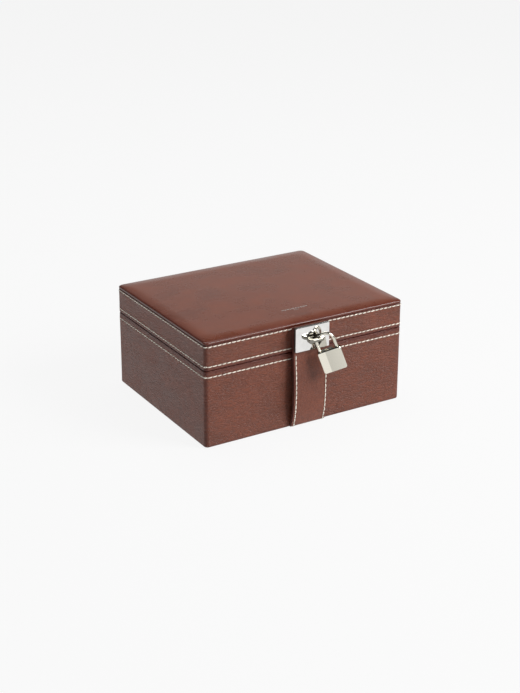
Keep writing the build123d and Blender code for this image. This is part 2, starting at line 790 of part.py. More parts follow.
half_lock = padlock_thickness / 2
case_top = -shackle_leg_height
case_bottom = case_top - padlock_height
case_middle = (case_top + case_bottom) / 2
back_inner = -half_lock + padlock_back
pin_x = bow_radius
pin_y = case_top - shackle_leg_in_case
leg_hole = shackle_radius + shackle_clearance
heel_radius = shackle_radius + 0.2
heel_half_width = shackle_radius - 0.1
bolt_y = case_top - shackle_leg_in_case / 2
leg_inner = -bow_radius + shackle_radius
bolt_tip = leg_inner + bolt_rest_gap
bolt_travel = 2 * cam_throw * sin(radians(45))
plug_top = bolt_y - bolt_height / 2 - bolt_play
pin_rest_x = cam_throw * sin(radians(45))

with BuildPart() as padlock_shackle:
    with BuildLine(padlock_plane) as bow:
        left_leg = Line((-bow_radius, pin_y), (-bow_radius, 0))
        ThreePointArc((-bow_radius, 0), (0, bow_radius), (bow_radius, 0))
        Line((bow_radius, 0), (bow_radius, pin_y))
    leg_end = Plane(origin=left_leg @ 0, z_dir=left_leg % 0)
    with BuildSketch(leg_end):
        Circle(shackle_radius)
    sweep(path=bow.line)
    with BuildSketch(padlock_plane.offset(-heel_half_width)):
        with Locations((pin_x, pin_y)):
            Circle(heel_radius)
    extrude(amount=2 * heel_half_width)
    with BuildSketch(padlock_plane.offset(-half_lock)):
        with Locations((pin_x, pin_y)):
            Circle(pivot_pin_radius + pivot_running_clearance)
    extrude(amount=padlock_thickness, mode=Mode.SUBTRACT)
    # The notch that the bolt enters.
    notch_depth = bolt_travel - bolt_rest_gap + bolt_play
    with BuildSketch(padlock_plane.offset(-half_lock)):
        with Locations((leg_inner - notch_depth / 2 + shackle_radius / 2, bolt_y)):
            Rectangle(notch_depth + shackle_radius, bolt_height + 4 * bolt_play)
    extrude(amount=padlock_thickness, mode=Mode.SUBTRACT)
save(padlock_shackle, "padlock_shackle")

with BuildPart() as padlock_case:
    with BuildSketch(padlock_plane.offset(back_inner)):
        with Locations((0, case_middle)):
            RectangleRounded(padlock_width, padlock_height, padlock_corner_radius)
    extrude(amount=padlock_thickness - padlock_back)
    front_edges = padlock_case.faces().sort_by(Axis(bow_centre, outward))[-1].edges()
    chamfer(front_edges, padlock_bevel)
    # The free leg's hole, a little long towards the heel so that the leg can swing out.
    with BuildSketch(padlock_plane.offset(-leg_hole)):
        with Locations((-bow_radius + shackle_exit_play / 2, (case_top + pin_y) / 2)):
            Rectangle(2 * leg_hole + shackle_exit_play, shackle_leg_in_case + 2 * shackle_clearance)
    extrude(amount=2 * leg_hole, mode=Mode.SUBTRACT)
    # The heel's slot, open to the top and to the side.
    slot_left = pin_x - heel_radius - shackle_clearance
    slot_low = pin_y - heel_radius - shackle_clearance
    slot_width = padlock_width / 2 - slot_left + padlock_corner_radius
    slot_height = case_top - slot_low + padlock_corner_radius
    with BuildSketch(padlock_plane.offset(-leg_hole)):
        with Locations((slot_left + slot_width / 2, slot_low + slot_height / 2)):
            Rectangle(slot_width, slot_height)
    extrude(amount=2 * leg_hole, mode=Mode.SUBTRACT)
    # The pivot pin's blind hole.
    with BuildSketch(padlock_plane.offset(back_inner)):
        with Locations((pin_x, pin_y)):
            Circle(pivot_pin_radius)
    extrude(amount=pivot_pin_length, mode=Mode.SUBTRACT)
    # The bolt's channel, from the leg's hole to past the plug.
    channel_right = plug_radius + bolt_travel + 2 * bolt_play
    channel_left = -bow_radius + leg_hole
    with BuildSketch(padlock_plane.offset(-bolt_half_depth - bolt_play)):
        with Locations(((channel_left + channel_right) / 2, bolt_y)):
            Rectangle(channel_right - channel_left, bolt_height + 2 * bolt_play)
    extrude(amount=2 * (bolt_half_depth + bolt_play), mode=Mode.SUBTRACT)
    # The plug's bore, from below up to the channel.
    bore_plane = Plane(origin=padlock_plane.from_local_coords((0, case_bottom, 0)), z_dir=along)
    with BuildSketch(bore_plane):
        Circle(plug_radius + plug_running_clearance)
    extrude(amount=plug_top + bolt_play - case_bottom, mode=Mode.SUBTRACT)
save(padlock_case, "padlock_case")

with BuildPart() as padlock_back_plate:
    with BuildSketch(padlock_plane.offset(-half_lock)):
        with Locations((0, case_middle)):
            RectangleRounded(padlock_width, padlock_height, padlock_corner_radius)
    extrude(amount=padlock_back)
    back_edges = padlock_back_plate.faces().sort_by(Axis(bow_centre, outward))[0].edges()
    chamfer(back_edges, padlock_back / 2)
save(padlock_back_plate, "padlock_back_plate")

with BuildPart() as padlock_bolt:
    bolt_length = plug_radius - bolt_tip
    with BuildSketch(padlock_plane.offset(-bolt_half_depth)):
        with Locations((bolt_tip + bolt_length / 2, bolt_y)):
            Rectangle(bolt_length, bolt_height)
    extrude(amount=2 * bolt_half_depth)
    # The tip that enters the leg is no thicker than the leg.
    with BuildSketch(padlock_plane.offset(-half_lock)):
        with Locations((bolt_tip + bolt_travel / 2, bolt_y)):
            Rectangle(bolt_travel, bolt_height)
    extrude(amount=half_lock - shackle_radius, mode=Mode.SUBTRACT)
    with BuildSketch(padlock_plane.offset(shackle_radius)):
        with Locations((bolt_tip + bolt_travel / 2, bolt_y)):
            Rectangle(bolt_travel, bolt_height)
    extrude(amount=half_lock, mode=Mode.SUBTRACT)
    # The slot that the plug's cam pin works in.
    with BuildSketch(padlock_plane):
        with Locations((pin_rest_x, bolt_y)):
            Rectangle(2 * (cam_pin_radius + bolt_play), 2 * bolt_height)
    extrude(amount=cam_throw + cam_pin_radius + bolt_play, mode=Mode.SUBTRACT)
save(padlock_bolt, "padlock_bolt")

with BuildPart() as padlock_plug:
    with BuildSketch(bore_plane):
        Circle(plug_radius)
    extrude(amount=plug_top - case_bottom)
    pin_foot = padlock_plane.from_local_coords((pin_rest_x, plug_top, pin_rest_x))
    with BuildSketch(Plane(origin=pin_foot, z_dir=along)):
        Circle(cam_pin_radius)
    extrude(amount=bolt_height)
    # The keyway.
    with BuildSketch(Plane(origin=bore_plane.origin, x_dir=across, z_dir=along)):
        Rectangle(plug_radius * 0.35, plug_radius * 1.3)
    extrude(amount=padlock_height / 3, mode=Mode.SUBTRACT)
save(padlock_plug, "padlock_plug")

with BuildPart() as padlock_pivot_pin:
    with BuildSketch(padlock_plane.offset(back_inner)):
        with Locations((pin_x, pin_y)):
            Circle(pivot_pin_radius)
    extrude(amount=pivot_pin_length)
save(padlock_pivot_pin, "padlock_pivot_pin")

pin_centre = padlock_plane.from_local_coords((pin_x, pin_y, 0))
plug_centre = padlock_plane.from_local_coords((0, case_bottom, 0))
print("lid hinge axis at y, z:", hinge_y, hinge_z)
print("strap axis at y, z:", pivot_y, strap_pivot_height)
print("padlock hangs at:", hang_point, " bow centre:", bow_centre)
print("padlock axes across, along, outward:", across, along, outward)
print("shackle pin at:", pin_centre, " plug at:", plug_centre, " bolt travel:", bolt_travel)
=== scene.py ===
import math

import bmesh
import bpy
import numpy as np
from bpy.props import FloatProperty, FloatVectorProperty, PointerProperty
from bpy.types import Operator, Panel, PropertyGroup
from mathutils import Matrix, Vector


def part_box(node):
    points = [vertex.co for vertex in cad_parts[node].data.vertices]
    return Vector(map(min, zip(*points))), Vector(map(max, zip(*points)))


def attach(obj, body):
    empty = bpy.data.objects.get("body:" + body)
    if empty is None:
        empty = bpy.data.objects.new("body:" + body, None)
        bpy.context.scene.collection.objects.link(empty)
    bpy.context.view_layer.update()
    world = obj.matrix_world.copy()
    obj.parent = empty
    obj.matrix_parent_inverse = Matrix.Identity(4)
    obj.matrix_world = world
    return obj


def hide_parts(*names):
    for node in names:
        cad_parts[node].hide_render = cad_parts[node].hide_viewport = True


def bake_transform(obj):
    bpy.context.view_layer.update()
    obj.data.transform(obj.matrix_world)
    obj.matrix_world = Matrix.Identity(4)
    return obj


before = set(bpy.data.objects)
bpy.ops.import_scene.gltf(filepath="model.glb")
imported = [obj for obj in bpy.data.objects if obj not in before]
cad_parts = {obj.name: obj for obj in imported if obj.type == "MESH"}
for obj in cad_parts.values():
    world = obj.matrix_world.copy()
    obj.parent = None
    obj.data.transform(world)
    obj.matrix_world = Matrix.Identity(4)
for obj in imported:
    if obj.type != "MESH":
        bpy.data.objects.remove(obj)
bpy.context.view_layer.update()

bl_info = {
    "name": "Leather Jewellery Case",
    "version": (1, 0, 0),
    "blender": (4, 5, 0),
    "location": "3D View > Sidebar > Jewellery Case",
    "description": "Builds the leather, stitching, padding and finishes of a jewellery case",
    "category": "Mesh",
}

# Lengths inside the shape functions are millimetres. MM turns them into metres.
MM = 0.001


def corners(node):
    """Lowest and highest corner of a CAD node, in millimetres."""
    low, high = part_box(node)
    return np.array(low) / MM, np.array(high) / MM


BASE_LOW, BASE_HIGH = corners("base_leather_wrap")
LID_LOW, LID_HIGH = corners("lid_side_leather")
COVER_LOW, COVER_HIGH = corners("lid_top_leather")
HALF_X = float(BASE_HIGH[0])
HALF_Y = float(BASE_HIGH[1])
HINGE_MIDDLE = float(np.mean([c[0] for c in corners("hinge_base_leaf_right")]))

# A hinge leaf is let into each rim: half its length, how far it reaches in from the back, and the
# heights to which the base's rim is cut down and the lid's is cut up for it.
LEAF_HALF = 15.0
LEAF_REACH = 7.0
LEAF_SEAT_BASE = 75.14
LEAF_SEAT_LID = 78.46

# The strap passes under the front edge in a slot: half its width, and the height of its top.
STRAP_SLOT_HALF = 19.3
STRAP_SLOT_TOP = 3.62

# Radii of the leather's turns at the bottom edge, the base's and the lid's rims and the lid's upper
# edge, and the heights where the leather ends inside the base and inside the lid.
BOTTOM_TURN = 1.6
RIM_TURN = 0.7
LID_TOP_TURN = 0.6
BASE_INSIDE_END = 65.1
LID_INSIDE_END = 88.5

# The padded top's crown is drawn this much under the top of its box, which is as much as its
# unevenness can rise.
TOP_CLEARANCE = 0.12

# Heights of the three stitch rows round the case, and the distance of the strap's rows from its middle.
BASE_STITCH_ROW = 70.5
LID_LOWER_ROW = 80.9
LID_UPPER_ROW = 100.2
STRAP_STITCH_X = 16.5


def length(name, description, millimetres):
    """A length property with a default given in millimetres."""
    return FloatProperty(
        name=name,
        description=description,
        default=millimetres * MM,
        min=0.0,
        precision=5,
        subtype="DISTANCE",
        unit="LENGTH",
    )


def colour(name, description, value):
    """A colour property."""
    return FloatVectorProperty(
        name=name,
        description=description,
        default=value,
        min=0.0,
        max=1.0,
        size=3,
        subtype="COLOR",
    )


class CaseSettings(PropertyGroup):
    """Sizes and colours of the visible case."""

    corner_radius: length("Corner radius", "Radius of the case's upright corners", 4.0)
    leather: length("Leather", "Thickness of the covering leather", 1.4)
    wave: length("Unevenness", "How far the stretched leather wanders in and out", 0.1)
    crown_drop: length("Crown drop", "How far the padded top falls towards its edge", 1.15)
    crown_width: length("Crown width", "Width of the band in which the padded top falls", 14.0)
    edge_roll: length("Edge roll", "Width of the rolled edge of the padded top", 1.7)
    stitch_pitch: length("Stitch pitch", "Distance from one stitch to the next", 5.0)
    stitch_length: length("Stitch length", "Length of thread that shows in one stitch", 4.75)
    thread: length("Thread", "Thickness of the sewing thread", 1.15)
    groove: length("Stitch groove", "Depth that the thread pulls into the leather", 0.34)
    leather_colour: colour("Leather", "Reddish brown of the covering leather", (0.168, 0.044, 0.021))
    # The darker red of the leather's edges is partly edge wear and partly painted shade.
    edge_wear_and_shade_colour: colour("Edge wear and shade", "Darker red of the leather's edges", (0.085, 0.013, 0.006))
    strap_colour: colour("Strap", "Brown of the strap's face", (0.172, 0.048, 0.025))
    thread_colour: colour("Thread", "Cream of the sewing thread", (0.93, 0.87, 0.76))
    suede_colour: colour("Suede", "Light brown of the lining suede", (0.36, 0.25, 0.17))
    nickel_colour: colour("Nickel", "Colour of the polished lock plate", (0.80, 0.79, 0.77))
    padlock_colour: colour("Padlock", "Warm nickel of the padlock", (0.60, 0.575, 0.50))
    foil_colour: colour("Foil", "Colour of the foil ornament", (0.86, 0.84, 0.80))
    floor_colour: colour("Floor", "Pale floor under the case", (0.90, 0.90, 0.90))


# ---- Shapes as arrays --------------------------------------------------------------------------
# Half the gap between the pair of stations on either side of a cut.
CUT_WIDTH = 0.012


def smooth_step(value):
    """0 below 0, 1 above 1, and the cubic 3t^2 - 2t^3 in between."""
    t = np.clip(value, 0.0, 1.0)
    return t * t * (3.0 - 2.0 * t)


def side_stations(reach, step, cuts):
    """Stations along a straight side from -reach to reach: evenly spread, with a close pair at each
    cut so that a step in the surface there is sharp."""
    even = np.linspace(-reach, reach, int(np.ceil(2.0 * reach / step)) + 1)[1:-1]
    if not len(cuts):
        return even
    cuts = np.array(cuts)
    clear = np.abs(even[:, None] - cuts[None]).min(axis=1) > 0.4 * step
    return np.sort(np.concatenate([even[clear], cuts - CUT_WIDTH, cuts + CUT_WIDTH]))


class Outline:
    """A rounded rectangle as stations. Each station has a point of the inner rectangle, which is the
    outline shrunk by its corner radius, and a direction out. A ring at some inset is the inner
    rectangle at that inset, plus that ring's radius times the direction out."""

    def __init__(self, half_x, half_y, radius, step, cuts=(), turn_steps=8):
        self.half = (half_x, half_y)
        self.radius = radius
        reach_x = half_x - radius
        reach_y = half_y - radius
        run_x = side_stations(reach_x, step, cuts)
        run_y = side_stations(reach_y, step, ())
        turn = np.radians(np.linspace(0.0, 90.0, turn_steps + 1))
        inner = []
        out = []

        def side(xs, ys, way):
            inner.append(np.stack(np.broadcast_arrays(xs, ys), axis=-1))
            out.append(np.broadcast_to(np.array(way, dtype=float), inner[-1].shape))

        def corner(x, y, start):
            angle = turn + math.radians(start)
            inner.append(np.broadcast_to(np.array([x, y]), (len(angle), 2)))
            out.append(np.stack([np.cos(angle), np.sin(angle)], axis=-1))

        side(run_x, -reach_y, (0.0, -1.0))
        corner(reach_x, -reach_y, -90.0)
        side(reach_x, run_y, (1.0, 0.0))
        corner(reach_x, reach_y, 0.0)
        side(run_x[::-1], reach_y, (0.0, 1.0))
        corner(-reach_x, reach_y, 90.0)
        side(-reach_x, run_y[::-1], (-1.0, 0.0))
        corner(-reach_x, -reach_y, 180.0)
        self.inner = np.concatenate(inner)
        self.out = np.concatenate(out)
        self.face = self.inner + radius * self.out
        gaps = np.linalg.norm(np.roll(self.face, -1, axis=0) - self.face, axis=1)
        self.run = np.concatenate([[0.0], np.cumsum(gaps)])
        self.around = float(self.run[-1])

    def rings(self, insets, radii, keep=0.0):
        """Points of the ring at each inset. Up to keep from the middle a station stays where it is,
        and beyond that it is drawn in evenly, so that the last one meets the ring's corner."""
        insets = np.asarray(insets, dtype=float)[:, None]
        radii = np.asarray(radii, dtype=float)[:, None]
        parts = []
        for axis in (0, 1):
            full = self.half[axis] - self.radius
            reach = self.half[axis] - insets - radii
            size = np.abs(self.inner[:, axis])
            drawn_in = keep + (size - keep) * (reach - keep) / (full - keep)
            spot = np.where(size <= keep, size, drawn_in)
            parts.append(np.sign(self.inner[:, axis]) * spot + radii * self.out[:, axis])
        return np.stack(parts, axis=-1)

    def along(self, distance):
        """Point and direction out at a distance round the outline, straight between stations."""
        distance = np.mod(distance, self.around)
        closed_face = np.vstack([self.face, self.face[:1]])
        closed_out = np.vstack([self.out, self.out[:1]])
        point = np.stack([np.interp(distance, self.run, closed_face[:, i]) for i in (0, 1)], axis=-1)
        out = np.stack([np.interp(distance, self.run, closed_out[:, i]) for i in (0, 1)], axis=-1)
        return point, out / np.linalg.norm(out, axis=-1, keepdims=True)


def arc(middle, radius, start, end, count):
    """Points of a circular arc in (inset, height), from start to end degrees."""
    angle = np.radians(np.linspace(start, end, count))
    return np.stack([middle[0] + radius * np.cos(angle), middle[1] + radius * np.sin(angle)], axis=-1)


def lattice(rows, columns, close_rows=False):
    """Quads between neighbouring rows and columns of a grid whose columns close in a loop."""
    row = np.arange(rows if close_rows else rows - 1)[:, None]
    column = np.arange(columns)[None]
    after = (column + 1) % columns
    above = ((row + 1) % rows) * columns
    below = row * columns
    quads = np.stack([below + column, below + after, above + after, above + column], axis=-1)
    return quads.reshape(-1, 4)


def enclosed(points, faces):
    """Signed volume inside faces, as the sum of the tetrahedra from the origin to a fan on each."""
    total = 0.0
    for block in faces:
        for i in range(1, block.shape[1] - 1):
            a = points[block[:, 0]]
            b = points[block[:, i]]
            c = points[block[:, i + 1]]
            total += float(np.einsum("ij,ij->", a, np.cross(b, c)))
    return total / 6.0


def make_piece(name, points, faces, material, sharp=40.0, merge=False, **attributes):
    """A mesh object from points in millimetres and blocks of faces, turned to face outwards."""
    points = np.asarray(points, dtype=float).reshape(-1, 3) * MM
    if enclosed(points, faces) < 0.0:
        faces = [block[:, ::-1] for block in faces]
    mesh = bpy.data.meshes.new(name)
    mesh.from_pydata(points.tolist(), [], [face for block in faces for face in block.tolist()])
    for key, values in attributes.items():
        layer = mesh.attributes.new(key, "FLOAT", "POINT")
        layer.data.foreach_set("value", np.asarray(values, dtype=np.float32).ravel())
    if merge:
        shell = bmesh.new()
        shell.from_mesh(mesh)
        bmesh.ops.remove_doubles(shell, verts=shell.verts, dist=0.004 * MM)
        bmesh.ops.dissolve_degenerate(shell, edges=shell.edges, dist=0.0005 * MM)
        bmesh.ops.recalc_face_normals(shell, faces=shell.faces)
        shell.to_mesh(mesh)
        shell.free()
    mesh.polygons.foreach_set("use_smooth", np.ones(len(mesh.polygons), dtype=bool))
    mesh.set_sharp_from_angle(angle=math.radians(sharp))
    mesh.materials.append(material)
    mesh.update()
    if mesh.validate():
        raise RuntimeError(name + " has faulty faces")
    piece = bpy.data.objects.new(name, mesh)
    bpy.context.scene.collection.objects.link(piece)
    return piece


# ---- Materials ---------------------------------------------------------------------------------
class Finish:
    """One procedural material. add() places a node and fills its sockets, by value or by a wire."""

    def __init__(self, name):
        self.material = bpy.data.materials.new(name)
        self.material.use_nodes = True
        self.nodes = self.material.node_tree.nodes
        self.links = self.material.node_tree.links
        self.shader = self.nodes["Principled BSDF"]
        self.place = self.add("ShaderNodeTexCoord").outputs["Object"]

    def feed(self, socket, value):
        """Wires a socket to another node's socket, or sets its value."""
        if isinstance(value, bpy.types.NodeSocket):
            self.links.new(value, socket)
        else:
            socket.default_value = value

    def add(self, kind, sockets=None, **choices):
        """A node with its choices set and its sockets fed."""
        node = self.nodes.new(kind)
        for key, value in choices.items():
            setattr(node, key, value)
        for key, value in (sockets or {}).items():
            self.feed(node.inputs[key], value)
        return node

    def stretched(self, size, turn=(0.0, 0.0, 0.0)):
        """Coordinates in which one unit is size (x, y, z) millimetres."""
        scale = [1.0 / (s * MM) for s in size]
        wires = {"Vector": self.place, "Rotation": turn, "Scale": scale}
        return self.add("ShaderNodeMapping", wires).outputs["Vector"]

    def noise(self, vector, detail=3.0, scale=1.0, distortion=0.0):
        """Fractal noise, from 0 to 1."""
        wires = {"Vector": vector, "Scale": scale, "Detail": detail, "Distortion": distortion}
        wires["Roughness"] = 0.55
        return self.add("ShaderNodeTexNoise", wires).outputs[0]

    def sums(self, operation, a, b, clamp=False):
        """One arithmetic step on two values."""
        node = self.add("ShaderNodeMath", {0: a, 1: b}, operation=operation, use_clamp=clamp)
        return node.outputs[0]

    def fit(self, value, low, high, to_low=0.0, to_high=1.0):
        """A value between low and high carried over to between to_low and to_high, and held there."""
        wires = {"Value": value, "From Min": low, "From Max": high, "To Min": to_low, "To Max": to_high}
        return self.add("ShaderNodeMapRange", wires).outputs["Result"]

    def tint(self, factor, a, b):
        """Colour a where factor is 0, colour b where it is 1, and a blend between."""
        node = self.add("ShaderNodeMix", data_type="RGBA", blend_type="MIX")
        self.feed(node.inputs[0], factor)
        self.feed(node.inputs[6], a)
        self.feed(node.inputs[7], b)
        return node.outputs[2]

    def bump(self, height, depth, strength=1.0):
        """Relief of a height map that stands for depth millimetres."""
        wires = {"Height": height, "Distance": depth * MM, "Strength": strength}
        return self.add("ShaderNodeBump", wires).outputs["Normal"]

    def finish(self, **sockets):
        """Feeds the shader's own sockets and gives the material."""
        for key, value in sockets.items():
            self.feed(self.shader.inputs[key.replace("_", " ")], value)
        return self.material


def rgba(value, factor=1.0):
    """A colour with its strength changed and its alpha added."""
    return tuple(min(1.0, c * factor) for c in value) + (1.0,)


def leather_finish(name, base, edge, crease, depth, rough, gloss=0.4, lines=0.55):
    """Pebbled leather: cells of a warped Voronoi pattern stand up between fine creases, a longer
    noise adds pull lines, a slow noise shifts the dye, painted shade darkens the creases, and a
    vertex attribute darkens edges, partly as edge wear and partly as painted shade. crease is the
    size of a cell, depth the height of the grain, and lines how dark the creases' painted shade is."""
    f = Finish(name)
    grain = f.stretched(crease)
    wander = f.noise(grain, detail=2.0, scale=0.7)
    drift = f.add("ShaderNodeVectorMath", {0: grain, 1: wander}, operation="ADD").outputs[0]
    cells = f.add("ShaderNodeTexVoronoi", {"Vector": drift, "Scale": 1.0}, feature="DISTANCE_TO_EDGE")
    pebble = f.fit(cells.outputs["Distance"], 0.0, 0.25)
    pull = f.noise(f.stretched((crease[0] * 2.2, crease[1] * 2.2, crease[2] * 1.2)), detail=4.0)
    line = f.fit(f.sums("ABSOLUTE", f.sums("SUBTRACT", pull, 0.5), 0.0), 0.0, 0.08)
    pore = f.noise(f.stretched((0.5, 0.5, 0.5)), detail=2.0)
    height = f.sums("ADD", f.sums("MULTIPLY", pebble, 0.45), f.sums("MULTIPLY", line, 0.55))
    height = f.sums("ADD", height, f.sums("MULTIPLY", pore, 0.15))
    dye = f.fit(f.noise(f.stretched((26.0, 26.0, 20.0)), detail=4.0), 0.3, 0.7)
    tone = f.tint(dye, rgba(base, 0.84), rgba(base, 1.17))
    # Painted shade: the grain's creases are darkened.
    painted_crease_shade = f.fit(height, 0.25, 0.95, lines, 0.0)
    tone = f.tint(painted_crease_shade, tone, rgba(base, 0.45))
    wear_and_shade_amount = f.add("ShaderNodeAttribute", attribute_name="burnish").outputs["Fac"]
    patchy = f.fit(f.noise(f.stretched((6.0, 6.0, 6.0)), detail=3.0), 0.2, 0.8, 0.75, 1.1)
    tone = f.tint(f.sums("MULTIPLY", wear_and_shade_amount, patchy, clamp=True), tone, rgba(edge))
    rough_map = f.fit(dye, 0.0, 1.0, rough - 0.04, rough + 0.05)
    f.shader.inputs["Specular IOR Level"].default_value = gloss
    return f.finish(Base_Color=tone, Roughness=rough_map, Normal=f.bump(height, depth))


def suede_finish(name, base):
    """Suede: short nap as fine noise, with painted shade where it is low, brushed patches as slow noise,
    and sheen at a low angle.
    """
    f = Finish(name)
    nap = f.noise(f.stretched((0.5, 0.5, 0.5)), detail=4.0)
    brushed = f.fit(f.noise(f.stretched((14.0, 14.0, 14.0)), detail=3.0, distortion=0.6), 0.3, 0.7)
    tone = f.tint(brushed, rgba(base, 0.82), rgba(base, 1.16))
    # Painted shade in the low spots of the nap.
    tone = f.tint(f.fit(nap, 0.35, 0.65, 0.3, 0.0), tone, rgba(base, 0.55))
    shader = f.shader.inputs
    shader["Sheen Weight"].default_value = 0.45
    shader["Sheen Roughness"].default_value = 0.5
    shader["Specular IOR Level"].default_value = 0.15
    matt = f.fit(nap, 0.3, 0.7, 0.85, 0.98)
    return f.finish(Base_Color=tone, Roughness=matt, Normal=f.bump(nap, 0.25))


def metal_finish(name, base, rough, brush=(0.4, 0.4, 0.4), depth=0.004):
    """Metal: faint handling marks vary the polish, and fine lines of stretched noise mark it."""
    f = Finish(name)
    marks = f.noise(f.stretched((9.0, 9.0, 9.0)), detail=5.0)
    lines = f.noise(f.stretched(brush), detail=2.0)
    tone = f.tint(f.fit(marks, 0.35, 0.65), rgba(base, 0.95), rgba(base, 1.04))
    polish = f.fit(marks, 0.3, 0.7, rough * 0.8, rough * 1.3)
    f.shader.inputs["Metallic"].default_value = 1.0
    return f.finish(Base_Color=tone, Roughness=polish, Normal=f.bump(lines, depth, 0.5))


# Places across the padlock's face are measured from PADLOCK_ORIGIN, in millimetres. The way across is
# straight right, turned to the front by PADLOCK_TURN and raised by PADLOCK_TILT, in degrees.
PADLOCK_ORIGIN = (8.88, -107.03, 88.41)
PADLOCK_TURN = -30.0
PADLOCK_TILT = 20.0
# Where the face's painted reflection, a bright strip, ends and where its right edge is, in
# millimetres across from that point.
PADLOCK_STRIP = -3.6
PADLOCK_RIGHT = 11.0


def padlock_face_finish(name, base):
    """Padlock face: a painted reflection, a brighter strip on the left, and a field beside it with
    painted light that grows a little brighter to the right. The strip ends where the place across the
    face passes PADLOCK_STRIP."""
    f = Finish(name)
    marks = f.noise(f.stretched((6.0, 6.0, 6.0)), detail=5.0)
    turn = math.radians(PADLOCK_TURN)
    tilt = math.radians(PADLOCK_TILT)
    way = (math.cos(tilt) * math.cos(turn), math.cos(tilt) * math.sin(turn), math.sin(tilt))
    origin = tuple(c * MM for c in PADLOCK_ORIGIN)
    reach = f.add("ShaderNodeVectorMath", {0: f.place, 1: origin}, operation="SUBTRACT").outputs[0]
    product = f.add("ShaderNodeVectorMath", {0: reach, 1: way}, operation="DOT_PRODUCT")
    across = product.outputs["Value"]
    # Painted reflection left of PADLOCK_STRIP, and painted light brightening the field towards the right.
    past_painted_reflection = f.fit(across, (PADLOCK_STRIP - 0.5) * MM, (PADLOCK_STRIP + 0.5) * MM)
    painted_brightening = f.fit(across, PADLOCK_STRIP * MM, PADLOCK_RIGHT * MM, 0.96, 1.12)
    shade = f.add("ShaderNodeVectorMath", {0: base, "Scale": painted_brightening}, operation="SCALE").outputs[0]
    tone = f.tint(past_painted_reflection, rgba(base, 1.38), shade)
    polish = f.fit(marks, 0.3, 0.7, 0.10, 0.17)
    f.shader.inputs["Metallic"].default_value = 1.0
    return f.finish(Base_Color=tone, Roughness=polish, Normal=f.bump(marks, 0.01, 0.5))


def board_finish(name, base):
    """Fibre board: flecks of stretched noise in two directions over an even tone."""
    f = Finish(name)
    flecks = f.noise(f.stretched((3.0, 0.8, 0.8)), detail=4.0)
    cloud = f.noise(f.stretched((18.0, 18.0, 18.0)), detail=2.0)
    tone = f.tint(f.fit(flecks, 0.4, 0.62), rgba(base, 0.8), rgba(base, 1.12))
    tone = f.tint(f.fit(cloud, 0.35, 0.65, 0.0, 0.35), tone, rgba(base, 0.7))
    matt = f.fit(flecks, 0.3, 0.7, 0.75, 0.92)
    return f.finish(Base_Color=tone, Roughness=matt, Normal=f.bump(flecks, 0.08))


def thread_finish(name, base):
    """Waxed thread: a slanting wave shows the twist of its strands, with painted shade in the grooves
    between them.
    """
    f = Finish(name)
    turned = f.stretched((1.0, 1.0, 1.0), turn=(0.6, 0.5, 0.6))
    wires = {"Vector": turned, "Scale": 0.55, "Distortion": 0.4, "Detail": 1.0}
    twist = f.add("ShaderNodeTexWave", wires).outputs["Fac"]
    grime = f.noise(f.stretched((12.0, 12.0, 12.0)), detail=3.0)
    tone = f.tint(f.fit(grime, 0.3, 0.7), rgba(base, 0.86), rgba(base, 1.06))
    # Painted shade in the grooves between the strands.
    tone = f.tint(f.fit(twist, 0.0, 0.5, 0.35, 0.0), tone, rgba(base, 0.6))
    waxed = f.fit(twist, 0.0, 1.0, 0.72, 0.58)
    return f.finish(Base_Color=tone, Roughness=waxed, Normal=f.bump(twist, 0.12))


def shaded(base, factor):
    """A colour made stronger or weaker: the painted light and painted shade of the padlock's nickel."""
    return tuple(factor * c for c in base)


def make_finishes(look):
    """Every material of the case, by name."""
    burnish = look.edge_wear_and_shade_colour
    return {
        "leather": leather_finish(
            "leather_sides", look.leather_colour, burnish, (4.6, 4.6, 1.7), 0.42, 0.40
        ),
        "cover": leather_finish(
            "leather_top", look.leather_colour, burnish, (3.0, 2.0, 2.2), 0.02, 0.28, 0.42, 0.1
        ),
        "strap": leather_finish(
            "leather_strap", look.strap_colour, burnish, (2.6, 2.6, 1.8), 0.2, 0.40
        ),
        "strap_edge": leather_finish(
            "leather_strap_edge", (0.05, 0.034, 0.028), (0.03, 0.015, 0.01), (2.0, 2.0, 1.2), 0.1, 0.55
        ),
        "dark_leather": leather_finish(
            "leather_underside", (0.07, 0.035, 0.025), (0.03, 0.015, 0.01), (2.4, 2.4, 2.4), 0.12, 0.6
        ),
        "frame_leather": leather_finish(
            "leather_mirror_frame", look.leather_colour, burnish, (1.6, 1.6, 1.6), 0.1, 0.42
        ),
        "suede": suede_finish("lining_suede", look.suede_colour),
        "board": board_finish("fibre_board", (0.42, 0.31, 0.21)),
        "foam": suede_finish("foam", (0.72, 0.68, 0.58)),
        "polished_nickel": metal_finish("polished_nickel", look.nickel_colour, 0.07),
        # Painted light: a brighter copy of the padlock's nickel for the shackle and back plate.
        "padlock": metal_finish("padlock_nickel_painted_light", shaded(look.padlock_colour, 1.12), 0.12),
        # Painted shade: a darker copy of the padlock's nickel for the staple eye.
        "eye_nickel_painted_shade": metal_finish("eye_nickel_painted_shade", shaded(look.padlock_colour, 0.42), 0.10),
        "padlock_face": padlock_face_finish("padlock_face", look.padlock_colour),
        "steel": metal_finish("brushed_steel", (0.55, 0.55, 0.54), 0.3, (9.0, 0.25, 0.25), 0.02),
        "brass": metal_finish("turned_brass", (0.66, 0.50, 0.23), 0.2, (0.3, 0.3, 2.5), 0.01),
        "mirror_glass": metal_finish("mirror_glass", (0.87, 0.89, 0.89), 0.015, depth=0.0006),
        "thread": thread_finish("thread", look.thread_colour),
        "foil": metal_finish("foil", look.foil_colour, 0.24, (0.5, 0.5, 0.5), 0.02),
    }


MADE = {}


def finish_named(key):
    """A material of the case. All of them are made when the first piece needs one."""
    if not MADE:
        MADE.update(make_finishes(bpy.context.scene.jewellery_case))
    return MADE[key]


